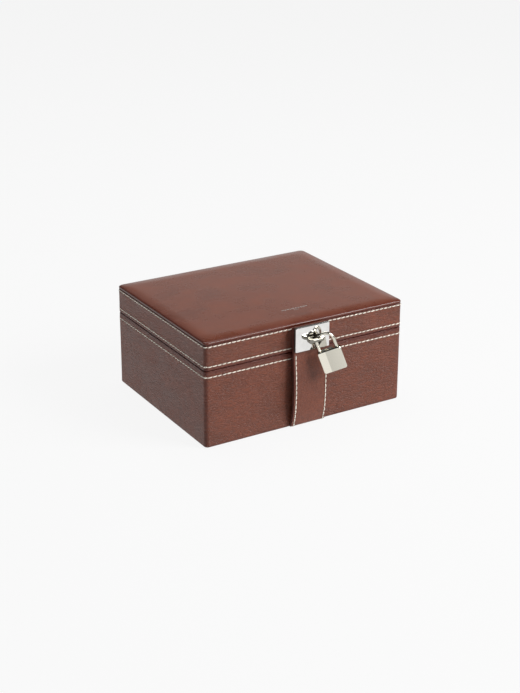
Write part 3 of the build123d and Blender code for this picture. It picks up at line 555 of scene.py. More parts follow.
# ---- Leather of the base and the lid -----------------------------------------------------------
def wall_rows(low, high, seams):
    """Heights of the rows of a leather wall, close together round each stitch row."""
    coarse = np.arange(low, high, 2.4)
    fine = [np.arange(z - 3.2, z + 3.3, 0.4) for z in seams]
    rows = np.sort(np.concatenate([coarse, *fine]))
    rows = rows[(rows > low + 0.2) & (rows < high - 0.2)]
    spaced = rows[np.insert(np.diff(rows) > 0.16, 0, True)]
    return np.concatenate([[low], spaced, [high]])


def wall_relief(run, around, heights, seams, look):
    """How far the face of a leather wall stands out. Slow cosines round the case and up it make it
    uneven. Each stitch row is a bell-shaped groove, deepest at the needle holes, between two swells."""
    turn = 2.0 * np.pi * run[None] / around
    z = heights[:, None]
    wave = np.cos(7 * turn + z / 21.0) + 0.7 * np.cos(12 * turn - z / 17.0 + 1.7)
    wave = wave + 0.5 * np.cos(19 * turn + z / 9.0 + 0.6)
    taper = smooth_step((z - heights[0]) / 6.0) * smooth_step((heights[-1] - z) / 4.0)
    relief = wave * taper * (look.wave / MM) / 2.2
    stitches = round(around / (look.stitch_pitch / MM))
    pull = 0.70 - 0.30 * np.cos(stitches * turn)
    for seam in seams:
        off = np.abs(z - seam)
        relief = relief - look.groove / MM * pull * np.exp(-((off / 0.6) ** 2))
        relief = relief + 0.10 * np.exp(-(((off - 1.9) / 0.9) ** 2))
    return relief


def near_edges(heights, edges):
    """How much the leather's edges are darkened, partly as edge wear and partly as painted shade: a bell
    round each (height, width, strength).
    """
    bells = [strength * np.exp(-(((heights - z) / width) ** 2)) for z, width, strength in edges]
    return np.max(bells, axis=0)


# How many points at the end of a wall's profile are hidden on its inner face.
INNER_ROWS = 6


def leather_wall(name, before, heights, after, seams, edges, move, look):
    """A closed leather wall. A profile of (inset, height) points runs from before, up the outer face
    at heights, and through after back to its start; it is carried round the case's outline, the outer
    face is moved out by its relief, and move then reseats the points where a fitting is let in."""
    radius = look.corner_radius / MM
    cuts = [-STRAP_SLOT_HALF, STRAP_SLOT_HALF]
    cuts += [side * HINGE_MIDDLE + end * LEAF_HALF for side in (-1, 1) for end in (-1, 1)]
    outline = Outline(HALF_X, HALF_Y, radius, 1.25, cuts)
    face = np.stack([np.zeros(len(heights)), heights], axis=-1)
    profile = np.concatenate([before, face, after])
    insets, rise = profile[:, 0], profile[:, 1]
    radii = np.maximum(radius - insets, 0.3)
    flat = outline.rings(insets, radii, keep=80.0)
    relief = np.zeros(flat.shape[:2])
    first = len(before)
    relief[first:first + len(heights)] = wall_relief(outline.run[:-1], outline.around, heights, seams, look)
    flat = flat + relief[..., None] * outline.out[None]
    up = np.broadcast_to(rise[:, None], flat.shape[:2]).copy()
    deep = np.broadcast_to(insets[:, None], up.shape)
    hidden = np.zeros(up.shape, dtype=bool)
    hidden[first + len(heights) + len(after) - INNER_ROWS:] = True
    up = move(flat, up, deep, hidden, outline.out)
    points = np.concatenate([flat, up[..., None]], axis=-1)
    # Edges, corners and the turned-in faces are darkened: partly edge wear, partly painted shade.
    wear_and_shade_amount = near_edges(rise, edges)[:, None] + 0.5 * np.abs(2.0 * outline.out.prod(axis=1))[None]
    wear_and_shade_amount = np.clip(wear_and_shade_amount + (insets[:, None] > 0.2), 0.0, 1.0)
    quads = lattice(len(profile), len(outline.out), close_rows=True)
    return make_piece(name, points, [quads], finish_named("leather"), burnish=wear_and_shade_amount)


def at_leaf(flat, deep, out):
    """True where the rim is cut down for a hinge leaf."""
    beside = np.abs(np.abs(flat[..., 0]) - HINGE_MIDDLE) < LEAF_HALF
    return beside & (deep < LEAF_REACH) & (out[None, :, 1] > 0.5)


class CASE_OT_base_leather(Operator):
    """Base leather: from under the floor, up the sides, over the rim and a little way down inside"""

    bl_idname = "jewellery_case.base_leather"
    bl_label = "Base leather"

    def execute(self, context):
        look = context.scene.jewellery_case
        rim = float(BASE_HIGH[2])
        low = float(BASE_LOW[2])
        bottom = low + BOTTOM_TURN
        thick = look.leather / MM
        board_rim = rim - thick
        before = np.concatenate([
            [(14.0, low), (9.0, low), (4.0, low)],
            arc((BOTTOM_TURN, bottom), BOTTOM_TURN, -90.0, -180.0, 7)[:-1],
        ])
        heights = wall_rows(bottom, rim - RIM_TURN, [BASE_STITCH_ROW])
        after = np.concatenate([
            arc((RIM_TURN, rim - RIM_TURN), RIM_TURN, 180.0, 90.0, 5)[1:],
            [(2.5, rim), (4.7, rim), (LEAF_REACH - 0.02, rim), (LEAF_REACH + 0.02, rim)],
            arc((7.9, rim - 0.3), 0.3, 90.0, 0.0, 3),
            [(8.2, BASE_INSIDE_END), (7.4, BASE_INSIDE_END), (7.4, board_rim), (thick, board_rim)],
            [(thick, 40.0)],
            arc((BOTTOM_TURN, bottom), BOTTOM_TURN - thick, 180.0, 270.0, 4),
            [(14.0, low + thick)],
        ])

        def let_in(flat, up, deep, hidden, out):
            slot = (np.abs(flat[..., 0]) < STRAP_SLOT_HALF) & (out[None, :, 1] < -0.5)
            up = np.where(slot & ~hidden, np.maximum(up, STRAP_SLOT_TOP), up)
            up = np.where(slot & hidden, np.maximum(up, STRAP_SLOT_TOP + 0.04), up)
            return np.where(at_leaf(flat, deep, out), np.minimum(up, LEAF_SEAT_BASE), up)

        edges = [(rim, 3.8, 1.0), (low, 1.6, 0.7)]
        piece = leather_wall(
            "base_leather", before, heights, after, [BASE_STITCH_ROW], edges, let_in, look
        )
        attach(piece, "base")
        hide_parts("base_leather_wrap")
        return {"FINISHED"}


class CASE_OT_lid_leather(Operator):
    """Lid leather: round the lid's sides, turned under its rim and a little way up inside"""

    bl_idname = "jewellery_case.lid_leather"
    bl_label = "Lid leather"

    def execute(self, context):
        look = context.scene.jewellery_case
        low = float(LID_LOW[2])
        high = float(LID_HIGH[2])
        thick = look.leather / MM
        board_rim = low + thick
        before = np.concatenate([
            [(7.0, low), (LEAF_REACH - 0.05, low), (4.7, low), (2.5, low)],
            arc((RIM_TURN, low + RIM_TURN), RIM_TURN, 270.0, 180.0, 5)[:-1],
        ])
        heights = wall_rows(low + RIM_TURN, high - LID_TOP_TURN, [LID_LOWER_ROW, LID_UPPER_ROW])
        after = np.concatenate([
            arc((LID_TOP_TURN, high - LID_TOP_TURN), LID_TOP_TURN, 180.0, 90.0, 4)[1:],
            [(thick, high), (thick, 90.0), (thick, board_rim), (6.9, board_rim), (6.9, LID_INSIDE_END)],
            [(7.7, LID_INSIDE_END), (7.7, low + 0.6)],
        ])

        def let_in(flat, up, deep, hidden, out):
            return np.where(at_leaf(flat, deep, out), np.maximum(up, LEAF_SEAT_LID), up)

        edges = [(low, 2.1, 1.0), (high, 0.9, 0.8)]
        seams = [LID_LOWER_ROW, LID_UPPER_ROW]
        piece = leather_wall("lid_leather", before, heights, after, seams, edges, let_in, look)
        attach(piece, "lid")
        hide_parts("lid_side_leather")
        return {"FINISHED"}


# ---- The padded top ----------------------------------------------------------------------------
def top_unevenness(x, y):
    """Slow rise and fall of the leather over the foam: a product of two cosines plus a third cosine,
    at most 0.12 mm high."""
    return 0.07 * np.cos(x / 31.0 + 1.0) * np.cos(y / 27.0) + 0.05 * np.cos(x / 17.0 - y / 23.0 + 2.0)


class CASE_OT_lid_cover(Operator):
    """Padded top: leather over thin foam, crowned, with a rolled edge above the groove"""

    bl_idname = "jewellery_case.lid_cover"
    bl_label = "Padded top"

    def execute(self, context):
        look = context.scene.jewellery_case
        radius = look.corner_radius / MM
        roll = look.edge_roll / MM
        drop = look.crown_drop / MM
        band = look.crown_width / MM
        low = float(COVER_LOW[2])
        high = float(COVER_HIGH[2]) - TOP_CLEARANCE
        spring = low + 1.6
        outline = Outline(HALF_X, HALF_Y, radius, 2.0)

        # The height over an inset is the crown, a parabola that falls by drop in the band; inside the
        # roll it is brought down to the spring line by the sine of the roll's angle.
        def crown(inset):
            return high - drop * np.maximum(0.0, 1.0 - inset / band) ** 2

        angle = np.radians(np.linspace(0.0, 90.0, 10))
        rolled = roll * (1.0 - np.cos(angle))
        rolled_height = spring + (crown(rolled) - spring) * np.sin(angle)
        under = np.array([HALF_Y, 60.0, 30.0, 10.0, 3.0, 1.0, 0.5, 0.1, 0.0])
        flat = np.concatenate([
            np.arange(roll + 0.8, band, 0.9),
            np.arange(band + 0.5, HALF_Y - 1.0, 2.6),
            [HALF_Y],
        ])
        insets = np.concatenate([under, rolled, flat])
        heights = np.concatenate([np.full(len(under), low), rolled_height, crown(flat)])
        heights[len(under) - 3:len(under)] = low + np.array([0.08, 0.3, 0.7])
        radii = np.minimum(radius + 0.6 * insets, 0.8 * (HALF_Y - insets))
        radii[: len(under)] = np.minimum(np.maximum(radius - under, 0.3), HALF_Y - under)
        rings = outline.rings(insets, radii)
        ease = smooth_step(insets / 10.0)[:, None]
        ease[: len(under)] = 0.0
        up = heights[:, None] + ease * top_unevenness(rings[..., 0], rings[..., 1])
        # The rolled edge and a band inside it are darkened: edge wear at the roll, and painted shade where
        # the crown falls away to the edge.
        wear_and_shade_amount = np.interp(insets, [0.0, roll, 4.0, 9.0], [0.9, 0.6, 0.25, 0.0])[:, None]
        wear_and_shade_amount = np.broadcast_to(wear_and_shade_amount, up.shape)
        points = np.concatenate([rings, up[..., None]], axis=-1)
        quads = lattice(len(insets), len(outline.out))
        piece = make_piece(
            "lid_cover", points, [quads], finish_named("cover"), merge=True, burnish=wear_and_shade_amount
        )
        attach(piece, "lid")
        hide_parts("lid_top_leather", "lid_foam_pad")
        return {"FINISHED"}


# ---- Stitching ---------------------------------------------------------------------------------
def stitch_shapes(middles, outs, sides, thick, dip):
    """Stitches as short rods. middles, outs and sides are (stitch, station, 3): points along each
    stitch, the way out of the leather and the way across the row. The rod's section is a hexagon
    whose radius falls as the square root of 1 - u^4 from the middle to the ends, and its line dips
    by dip times u^2 into the needle holes. u runs from -1 to 1."""
    stations = middles.shape[1]
    u = np.linspace(-1.0, 1.0, stations)
    radius = 0.5 * thick * np.sqrt(np.maximum(1.0 - 0.93 * u ** 4, 0.0))
    angle = 2.0 * np.pi * np.arange(6) / 6.0
    line = middles - (dip * u ** 2)[None, :, None] * outs
    ring = np.cos(angle)[:, None] * outs[:, :, None] * 0.85 + np.sin(angle)[:, None] * sides[:, :, None]
    points = line[:, :, None] + radius[None, :, None, None] * ring
    one = lattice(stations, 6)
    caps = np.array([np.arange(6)[::-1], np.arange(6) + 6 * (stations - 1)])
    shift = (6 * stations * np.arange(len(middles)))[:, None, None]
    return points, [(one[None] + shift).reshape(-1, 4), (caps[None] + shift).reshape(-1, 6)]


def stitch_row(name, height, body, skip, look):
    """A row round the case: stitches at equal steps of the outline, each slightly slanted."""
    outline = Outline(HALF_X, HALF_Y, look.corner_radius / MM, 1.25)
    count = round(outline.around / (look.stitch_pitch / MM))
    starts = outline.around * np.arange(count) / count
    point, _ = outline.along(starts)
    starts = starts[~skip(point)]
    u = np.linspace(-1.0, 1.0, 6)
    reach = 0.5 * look.stitch_length / MM
    point, out = outline.along(starts[:, None] + reach * u[None])
    thick = look.thread / MM
    seat = 0.30 * thick - look.groove / MM + 0.12
    level = height + 0.16 * u + 0.05 * np.sin(starts * 1.7)[:, None]
    outs = np.concatenate([out, np.zeros(out.shape[:2] + (1,))], axis=-1)
    middles = np.concatenate([point + seat * out, level[..., None]], axis=-1)
    sides = np.broadcast_to(np.array([0.0, 0.0, 1.0]), middles.shape)
    points, faces = stitch_shapes(middles, outs, sides, thick, 0.38)
    piece = make_piece(name, points, faces, finish_named("thread"), sharp=80.0)
    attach(piece, body)
    return piece


class CASE_OT_case_stitching(Operator):
    """Case stitching: one row round the base and two round the lid"""

    bl_idname = "jewellery_case.case_stitching"
    bl_label = "Case stitching"

    def execute(self, context):
        look = context.scene.jewellery_case
        striker_half = float(corners("striker_plate")[1][0]) + 1.5

        def behind_striker(point):
            return (np.abs(point[:, 0]) < striker_half) & (point[:, 1] < 0.0)

        def nowhere(point):
            return np.zeros(len(point), dtype=bool)

        stitch_row("stitches_base", BASE_STITCH_ROW, "base", nowhere, look)
        stitch_row("stitches_lid_lower", LID_LOWER_ROW, "lid", nowhere, look)
        stitch_row("stitches_lid_upper", LID_UPPER_ROW, "lid", behind_striker, look)
        return {"FINISHED"}


# ---- The strap ---------------------------------------------------------------------------------
# The strap, in millimetres: half its width, and then its middle line: where the tail ends and how high
# it lies, the bend round the front edge, the top, and the knots of the bow with its slopes there.
STRAP_HALF = 19.0
STRAP_TAIL_Y = -62.3
STRAP_LEVEL = 2.1
STRAP_BEND = (-90.0, 4.5)
STRAP_BEND_RADIUS = 2.4
STRAP_BEND_END = 12.7
STRAP_TOP = 103.2
STRAP_BOW_Z = [14.42, 29.82, 49.84, 79.1]
STRAP_BOW_Y = [-94.65, -96.0, -96.0, -94.5]
STRAP_BOW_SLOPE = [-0.142, -0.038, 0.030, 0.0]
# The strap's sewing starts on the bend, at this distance in front of the middle.
SEWING_START_Y = -91.2


def hermite(at, knots, values, slopes):
    """Cubic through values at knots with those slopes: the usual four Hermite polynomials."""
    knots, values, slopes = np.array(knots), np.array(values), np.array(slopes)
    i = np.clip(np.searchsorted(knots, at) - 1, 0, len(knots) - 2)
    width = knots[i + 1] - knots[i]
    t = (at - knots[i]) / width
    start = (1.0 + 2.0 * t) * (1.0 - t) ** 2 * values[i] + t * (1.0 - t) ** 2 * width * slopes[i]
    end = t * t * (3.0 - 2.0 * t) * values[i + 1] + t * t * (t - 1.0) * width * slopes[i + 1]
    return start + end


def strap_path():
    """The strap's middle line in (y, z): along under the floor, round a bend at the front edge, up in
    a long bow away from the case, and straight behind the plate. Gives points, ways out and run."""
    tail = np.arange(STRAP_TAIL_Y, STRAP_BEND[0], -1.6)
    tail = np.stack([tail, np.full(len(tail), STRAP_LEVEL)], axis=-1)
    bend = arc(STRAP_BEND, STRAP_BEND_RADIUS, -90.0, -180.0 + STRAP_BEND_END, 14)
    rise = np.arange(bend[-1, 1] + 0.8, STRAP_BOW_Z[-1], 1.0)
    knots = [bend[-1, 1]] + STRAP_BOW_Z
    values = [bend[-1, 0]] + STRAP_BOW_Y
    slopes = [-math.tan(math.radians(STRAP_BEND_END))] + STRAP_BOW_SLOPE
    bow = np.stack([hermite(rise, knots, values, slopes), rise], axis=-1)
    top = np.linspace(STRAP_BOW_Z[-1], STRAP_TOP, 14)
    top = np.stack([np.full(len(top), STRAP_BOW_Y[-1]), top], axis=-1)
    line = np.concatenate([tail, bend, bow, top])
    step = np.gradient(line, axis=0)
    step = step / np.linalg.norm(step, axis=1, keepdims=True)
    out = np.stack([-step[:, 1], step[:, 0]], axis=-1)
    run = np.concatenate([[0.0], np.cumsum(np.linalg.norm(np.diff(line, axis=0), axis=1))])
    return line, out, run


class CASE_OT_strap(Operator):
    """Strap: face leather and lining sewn together, from under the floor to the lock plate"""

    bl_idname = "jewellery_case.strap"
    bl_label = "Strap"

    def execute(self, context):
        look = context.scene.jewellery_case
        line, out, run = strap_path()
        # The section is a flat loop: face, edge with a fine line between the two leathers, lining.
        seam = STRAP_STITCH_X
        by_seam = seam + np.array([-0.8, -0.4, 0.0, 0.4, 0.8])
        half_face = np.concatenate([[0.0, 4.0, 8.0, 12.0, 15.0], by_seam])
        across = np.concatenate([-half_face[:0:-1], half_face])
        dip = 0.28 * np.exp(-(((np.abs(across) - seam) / 0.45) ** 2))
        face = np.stack([across, 1.5 - dip], axis=-1)
        edge_x = STRAP_HALF - np.array([0.55, 0.17, 0.0, 0.0, 0.22, 0.0, 0.0, 0.12, 0.4])
        edge_h = np.array([1.5, 1.3, 0.95, -0.3, -0.5, -0.7, -1.15, -1.4, -1.5])
        right = np.stack([edge_x, edge_h], axis=-1)
        lining = np.stack([np.linspace(15.0, -15.0, 9), np.full(9, -1.5)], axis=-1)
        left = np.stack([-edge_x[::-1], edge_h[::-1]], axis=-1)
        section = np.concatenate([face, right, lining, left])
        across, over = section[:, 0], section[:, 1]
        stitches = run / (look.stitch_pitch / MM)
        pucker = 1.0 - 0.35 * np.cos(2.0 * np.pi * stitches)[:, None]
        groove = np.where(np.arange(len(section)) < len(face), 1.5 - over, 0.0)[None] * pucker
        sits = np.where(np.arange(len(section)) < len(face), 1.5, over)[None] - groove
        points = np.empty((len(line), len(section), 3))
        points[..., 0] = across[None]
        points[..., 1] = line[:, None, 0] + sits * out[:, None, 0]
        points[..., 2] = line[:, None, 1] + sits * out[:, None, 1]
        wear_and_shade_amount = np.broadcast_to(smooth_step((np.abs(across) - 18.0) / 0.8)[None], points.shape[:2])
        loop = np.arange(len(section))
        caps = np.array([loop, loop[::-1] + len(section) * (len(line) - 1)])
        faces = [lattice(len(line), len(section)), caps[:, ::-1]]
        piece = make_piece("strap_leather", points, faces, finish_named("strap"), sharp=50.0, burnish=wear_and_shade_amount)
        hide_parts("strap_leather_outer", "strap_leather_lining", "strap_tail")
        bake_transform(piece)
        self.sew(look, line, out, run)
        return {"FINISHED"}

    def sew(self, look, line, out, run):
        """Two rows of stitches up the strap's face, from the bend to the plate."""
        pitch = look.stitch_pitch / MM
        thick = look.thread / MM
        first = np.interp(SEWING_START_Y, line[:40, 0][::-1], run[:40][::-1])
        last = float(np.interp(STRAP_BOW_Z[-1], line[30:, 1], run[30:])) - 2.2
        starts = np.arange(math.ceil(first / pitch) * pitch, last, pitch)
        u = np.linspace(-1.0, 1.0, 6)
        at = starts[:, None] + 0.5 * look.stitch_length / MM * u[None]
        rows = []
        for side in (-1.0, 1.0):
            seat = 1.5 + 0.30 * thick - 0.2
            out_y = np.interp(at, run, out[:, 0])
            out_z = np.interp(at, run, out[:, 1])
            middles = np.empty(at.shape + (3,))
            middles[..., 0] = side * STRAP_STITCH_X + 0.14 * u[None]
            middles[..., 1] = np.interp(at, run, line[:, 0]) + seat * out_y
            middles[..., 2] = np.interp(at, run, line[:, 1]) + seat * out_z
            outs = np.stack([np.zeros(at.shape), out_y, out_z], axis=-1)
            rows.append((middles, outs))
        middles = np.concatenate([row[0] for row in rows])
        outs = np.concatenate([row[1] for row in rows])
        sides = np.broadcast_to(np.array([1.0, 0.0, 0.0]), middles.shape)
        points, faces = stitch_shapes(middles, outs, sides, thick, 0.35)
        piece = make_piece("stitches_strap", points, faces, finish_named("thread"), sharp=80.0)
        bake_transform(piece)


# ---- Ornament ----------------------------------------------------------------------------------
# Middle of the ornament on the lid, half the length of its line and the step between its lozenges.
ORNAMENT_MIDDLE = (5.5, -58.0)
ORNAMENT_HALF = 13.5
ORNAMENT_STEP = 1.5


def ornament_shapes():
    """Flat shapes of the foil ornament, as outlines in (x, y) round its middle: a line of lozenges,
    large and small by turns, and a short line of four under it."""
    xs = np.arange(-ORNAMENT_HALF, ORNAMENT_HALF + 0.1, ORNAMENT_STEP)
    lozenges = [(x, 0.0, 0.65, 0.8) if i % 2 else (x, 0.0, 0.85, 1.35) for i, x in enumerate(xs)]
    lozenges += [(x, -3.4, 0.6, 0.7) for x in (-2.1, -0.7, 0.7, 2.1)]
    return [
        np.array([(x - wide, y), (x, y - tall), (x + wide, y), (x, y + tall)])
        for x, y, wide, tall in lozenges
    ]


class CASE_OT_ornament(Operator):
    """Foil ornament: two lines of small lozenges, pressed into the padded top"""

    bl_idname = "jewellery_case.ornament"
    bl_label = "Foil ornament"

    def execute(self, context):
        top = float(COVER_HIGH[2]) - TOP_CLEARANCE
        points = []
        faces = []
        count = 0
        for shape in ornament_shapes():
            flat = shape + np.array(ORNAMENT_MIDDLE)
            ground = top + top_unevenness(flat[:, 0], flat[:, 1])
            size = len(flat)
            for lift in (-0.06, 0.035):
                points.append(np.column_stack([flat, ground + lift]))
            order = np.arange(size)
            after = (order + 1) % size
            faces.append(np.stack([order, after, after + size, order + size], axis=-1) + count)
            faces.append(order[None, ::-1] + count)
            faces.append(order[None] + size + count)
            count += 2 * size
        piece = make_piece("lid_ornament", np.concatenate(points), faces, finish_named("foil"), sharp=30.0)
        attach(piece, "lid")
        return {"FINISHED"}


# ---- Soft lining pieces ------------------------------------------------------------------------
def soft_block(name, low, high, radius, soft, sag, material):
    """A padded block from low to high: a rounded outline drawn in near the top and the bottom by a
    quarter circle of radius soft, with sides that pull in by sag halfway up and a crowned top."""
    middle = 0.5 * (low + high)
    half = 0.5 * (high - low)
    outline = Outline(float(half[0]), float(half[1]), radius, 2.0)
    angle = np.radians(np.linspace(0.0, 90.0, 7))
    under = np.array([half[1], 0.6 * half[1], 0.3 * half[1]])
    lower_in, lower_up = soft * (1.0 - np.sin(angle)), low[2] + soft * (1.0 - np.cos(angle))
    side_up = np.linspace(low[2] + soft, high[2] - soft, 9)[1:-1]
    share = (side_up - low[2]) / (high[2] - low[2])
    side_in = sag * np.sin(np.pi * share) ** 2
    upper_in, upper_up = soft * (1.0 - np.cos(angle)), high[2] - soft * (1.0 - np.sin(angle))
    over = np.linspace(soft, half[1], 16)[1:]
    insets = np.concatenate([under, lower_in, side_in, upper_in, over])
    heights = np.concatenate([np.full(3, low[2]), lower_up, side_up, upper_up, np.full(15, high[2])])
    heights[-15:] += 0.35 * (1.0 - (1.0 - over / half[1]) ** 2) - 0.35
    radii = np.minimum(radius + 0.4 * insets, 0.8 * (half[1] - insets))
    rings = outline.rings(insets, radii) + middle[None, None, :2]
    up = np.broadcast_to(heights[:, None], rings.shape[:2]).copy()
    quads = lattice(len(insets), len(outline.out))
    points = np.concatenate([rings, up[..., None]], axis=-1)
    return make_piece(name, points, [quads], material, merge=True)


class CASE_OT_floor_pad(Operator):
    """Floor pad: suede over thin foam, swelling a little in each compartment"""

    bl_idname = "jewellery_case.floor_pad"
    bl_label = "Floor pad"

    def execute(self, context):
        low, high = corners("base_floor_pad")
        long_divider = corners("divider_long")
        front_divider = corners("divider_front")
        back_left = corners("divider_back_left")
        back_right = corners("divider_back_right")
        x = np.linspace(low[0], high[0], 101)
        y = np.linspace(low[1], high[1], 81)
        grid_x, grid_y = np.meshgrid(x, y, indexing="ij")
        # The swell of a room is its height times two terms 1 - exp(-distance / 7), one for the distance
        # to the nearer side wall and one for the distance to the nearer front or back wall.
        swell = np.zeros(grid_x.shape)
        rooms = [
            (front_divider[1][0], high[0], low[1], long_divider[0][1]),
            (low[0], back_left[0][0], long_divider[1][1], high[1]),
            (back_left[1][0], back_right[0][0], long_divider[1][1], high[1]),
            (back_right[1][0], high[0], long_divider[1][1], high[1]),
        ]
        for left, right, front, back in rooms:
            from_side = np.minimum(grid_x - left, right - grid_x)
            from_end = np.minimum(grid_y - front, back - grid_y)
            inside = (from_side > 0.0) & (from_end > 0.0)
            room = (1.0 - np.exp(-from_side / 7.0)) * (1.0 - np.exp(-from_end / 7.0))
            swell = np.where(inside, 1.1 * room, swell)
        top = np.stack([grid_x, grid_y, high[2] - 0.03 + swell], axis=-1)
        bottom = np.stack([grid_x, grid_y, np.full(grid_x.shape, low[2] + 0.02)], axis=-1)
        rows, columns = grid_x.shape
        index = np.arange(rows * columns).reshape(rows, columns)
        cell = np.stack([index[:-1, :-1], index[1:, :-1], index[1:, 1:], index[:-1, 1:]], axis=-1)
        cell = cell.reshape(-1, 4)
        rim = np.concatenate([index[:, 0], index[-1, 1:], index[-2::-1, -1], index[0, -2:0:-1]])
        after = np.roll(rim, -1)
        shift = rows * columns
        walls = np.stack([rim + shift, after + shift, after, rim], axis=-1)
        points = np.concatenate([top.reshape(-1, 3), bottom.reshape(-1, 3)])
        piece = make_piece("floor_pad", points, [cell, cell[:, ::-1] + shift, walls], finish_named("suede"))
        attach(piece, "base")
        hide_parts("base_floor_pad")
        return {"FINISHED"}


class CASE_OT_ring_bed(Operator):
    """Ring bed: the padded block under the ring rolls"""

    bl_idname = "jewellery_case.ring_bed"
    bl_label = "Ring bed"

    def execute(self, context):
        low, high = corners("ring_bed")
        piece = soft_block("ring_bed_pad", low, high, 2.5, 2.0, 0.7, finish_named("suede"))
        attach(piece, "base")
        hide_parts("ring_bed")
        return {"FINISHED"}


class CASE_OT_ring_rolls(Operator):
    """Ring rolls: four stuffed suede rolls side by side"""

    bl_idname = "jewellery_case.ring_rolls"
    bl_label = "Ring rolls"

    def execute(self, context):
        for number in (1, 2, 3, 4):
            node = "ring_roll_" + str(number)
            low, high = corners(node)
            middle = 0.5 * (low + high)
            radius = 0.5 * float(high[2] - low[2])
            half = 0.5 * float(high[0] - low[0])
            # A roll is turned about its own line: a flat end, a soft quarter circle of 2.4 mm, and a
            # long body whose radius wanders by a tenth of a millimetre. A seam runs along its underside.
            soft = 2.4
            angle = np.radians(np.linspace(0.0, 90.0, 8))
            end_x = half - soft * (1.0 - np.sin(angle[::-1]))
            end_r = radius - soft * (1.0 - np.cos(angle[::-1]))
            disc_r = np.array([0.0, 0.35 * radius, 0.6 * radius])
            disc_x = half + 0.25 * (disc_r / radius) ** 2 - 0.1
            body_x = np.linspace(half - soft, -half + soft, 50)[1:-1]
            along = np.concatenate([disc_x, end_x, body_x, -end_x[::-1], -disc_x[::-1]])
            size = np.concatenate([disc_r, end_r, np.full(len(body_x), radius), end_r[::-1], disc_r[::-1]])
            wander = 0.10 * np.cos(along / 9.0 + 2.1 * number) + 0.06 * np.cos(along / 4.3 + number)
            size = size - np.abs(wander) * (size > 0.9 * radius)
            turn = 2.0 * np.pi * np.arange(48) / 48.0
            seam = 0.35 * np.exp(-(((turn - np.radians(235.0)) / 0.10) ** 2))
            reach = np.maximum(size[:, None] - seam[None] * (size[:, None] > 0.5 * radius), 0.0)
            points = np.empty((len(along), len(turn), 3))
            points[..., 0] = middle[0] + along[:, None]
            points[..., 1] = middle[1] + reach * np.cos(turn)[None]
            points[..., 2] = middle[2] + reach * np.sin(turn)[None]
            quads = lattice(len(along), len(turn))
            name = "ring_roll_pad_" + str(number)
            piece = make_piece(name, points, [quads], finish_named("suede"), merge=True)
            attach(piece, "base")
            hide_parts(node)
        return {"FINISHED"}


# ---- Finishes of the carried-over nodes --------------------------------------------------------
# Nodes whose finish isn't their slot's, and the one slot whose finish has another name.
OWN_FINISHES = {
    "padlock_case": "padlock_face",
    "padlock_back_plate": "padlock",
    "padlock_shackle": "padlock",
    "staple_eye": "eye_nickel_painted_shade",
    "strap_end_pad": "strap_edge",
}
SLOT_FINISHES = {"brown_leather": "leather"}


class CASE_OT_finishes(Operator):
    """Finishes: gives every carried-over node its procedural material"""

    bl_idname = "jewellery_case.finishes"
    bl_label = "Finishes"

    def execute(self, context):
        for name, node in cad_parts.items():
            for place in node.material_slots:
                slot = place.material.name.split(".")[0]
                key = SLOT_FINISHES.get(slot, slot)
                place.material = finish_named(OWN_FINISHES.get(name, key))
        return {"FINISHED"}


# ---- Stage -------------------------------------------------------------------------------------
# Share of the floor's light that is its own, as on a light table, which keeps shadows faint.
FLOOR_GLOW = 0.94
FLOOR_SHADE = (0.955, 0.955, 0.955, 1.0)
# Half the floor's width and how far it lies below the case, in metres.
FLOOR_REACH = 60.0
FLOOR_DROP = 0.0002
# What both lights look at, in metres.
LIGHT_AIM = (0.0, 0.0, 0.05)
# The camera: its turn, rise and roll in degrees, how far the case's origin lies ahead of it, beside it
# and below it in metres, its upward shift as a share of the picture's longer side, and its lens in
# millimetres.
CAMERA_TURN = -31.243
CAMERA_RISE = 18.994
CAMERA_ROLL = 0.209
CAMERA_AWAY = 1.38911
CAMERA_SIDE = -0.00235
CAMERA_DROP = -0.1277
CAMERA_SHIFT = -0.12
CAMERA_LENS = 71.229
# The surroundings' ramps: an axis, where on it the ramp starts and ends, and its strength there.
WORLD_RAMPS = (
    ("Z", 0.26, 0.43, 0.95, 0.03),
    ("X", -0.8, 0.3, 0.35, 1.0),
    ("Y", -0.6, 0.25, 0.30, 1.0),
)


def softbox(name, spot, size, power):
    """A rectangular area light at spot that looks at LIGHT_AIM."""
    lamp = bpy.data.lights.new(name, "AREA")
    lamp.shape = "RECTANGLE"
    lamp.size = size[0]
    lamp.size_y = size[1]
    lamp.energy = power
    box = bpy.data.objects.new(name, lamp)
    bpy.context.scene.collection.objects.link(box)
    box.location = spot
    box.rotation_euler = (Vector(LIGHT_AIM) - Vector(spot)).to_track_quat("-Z", "Y").to_euler()


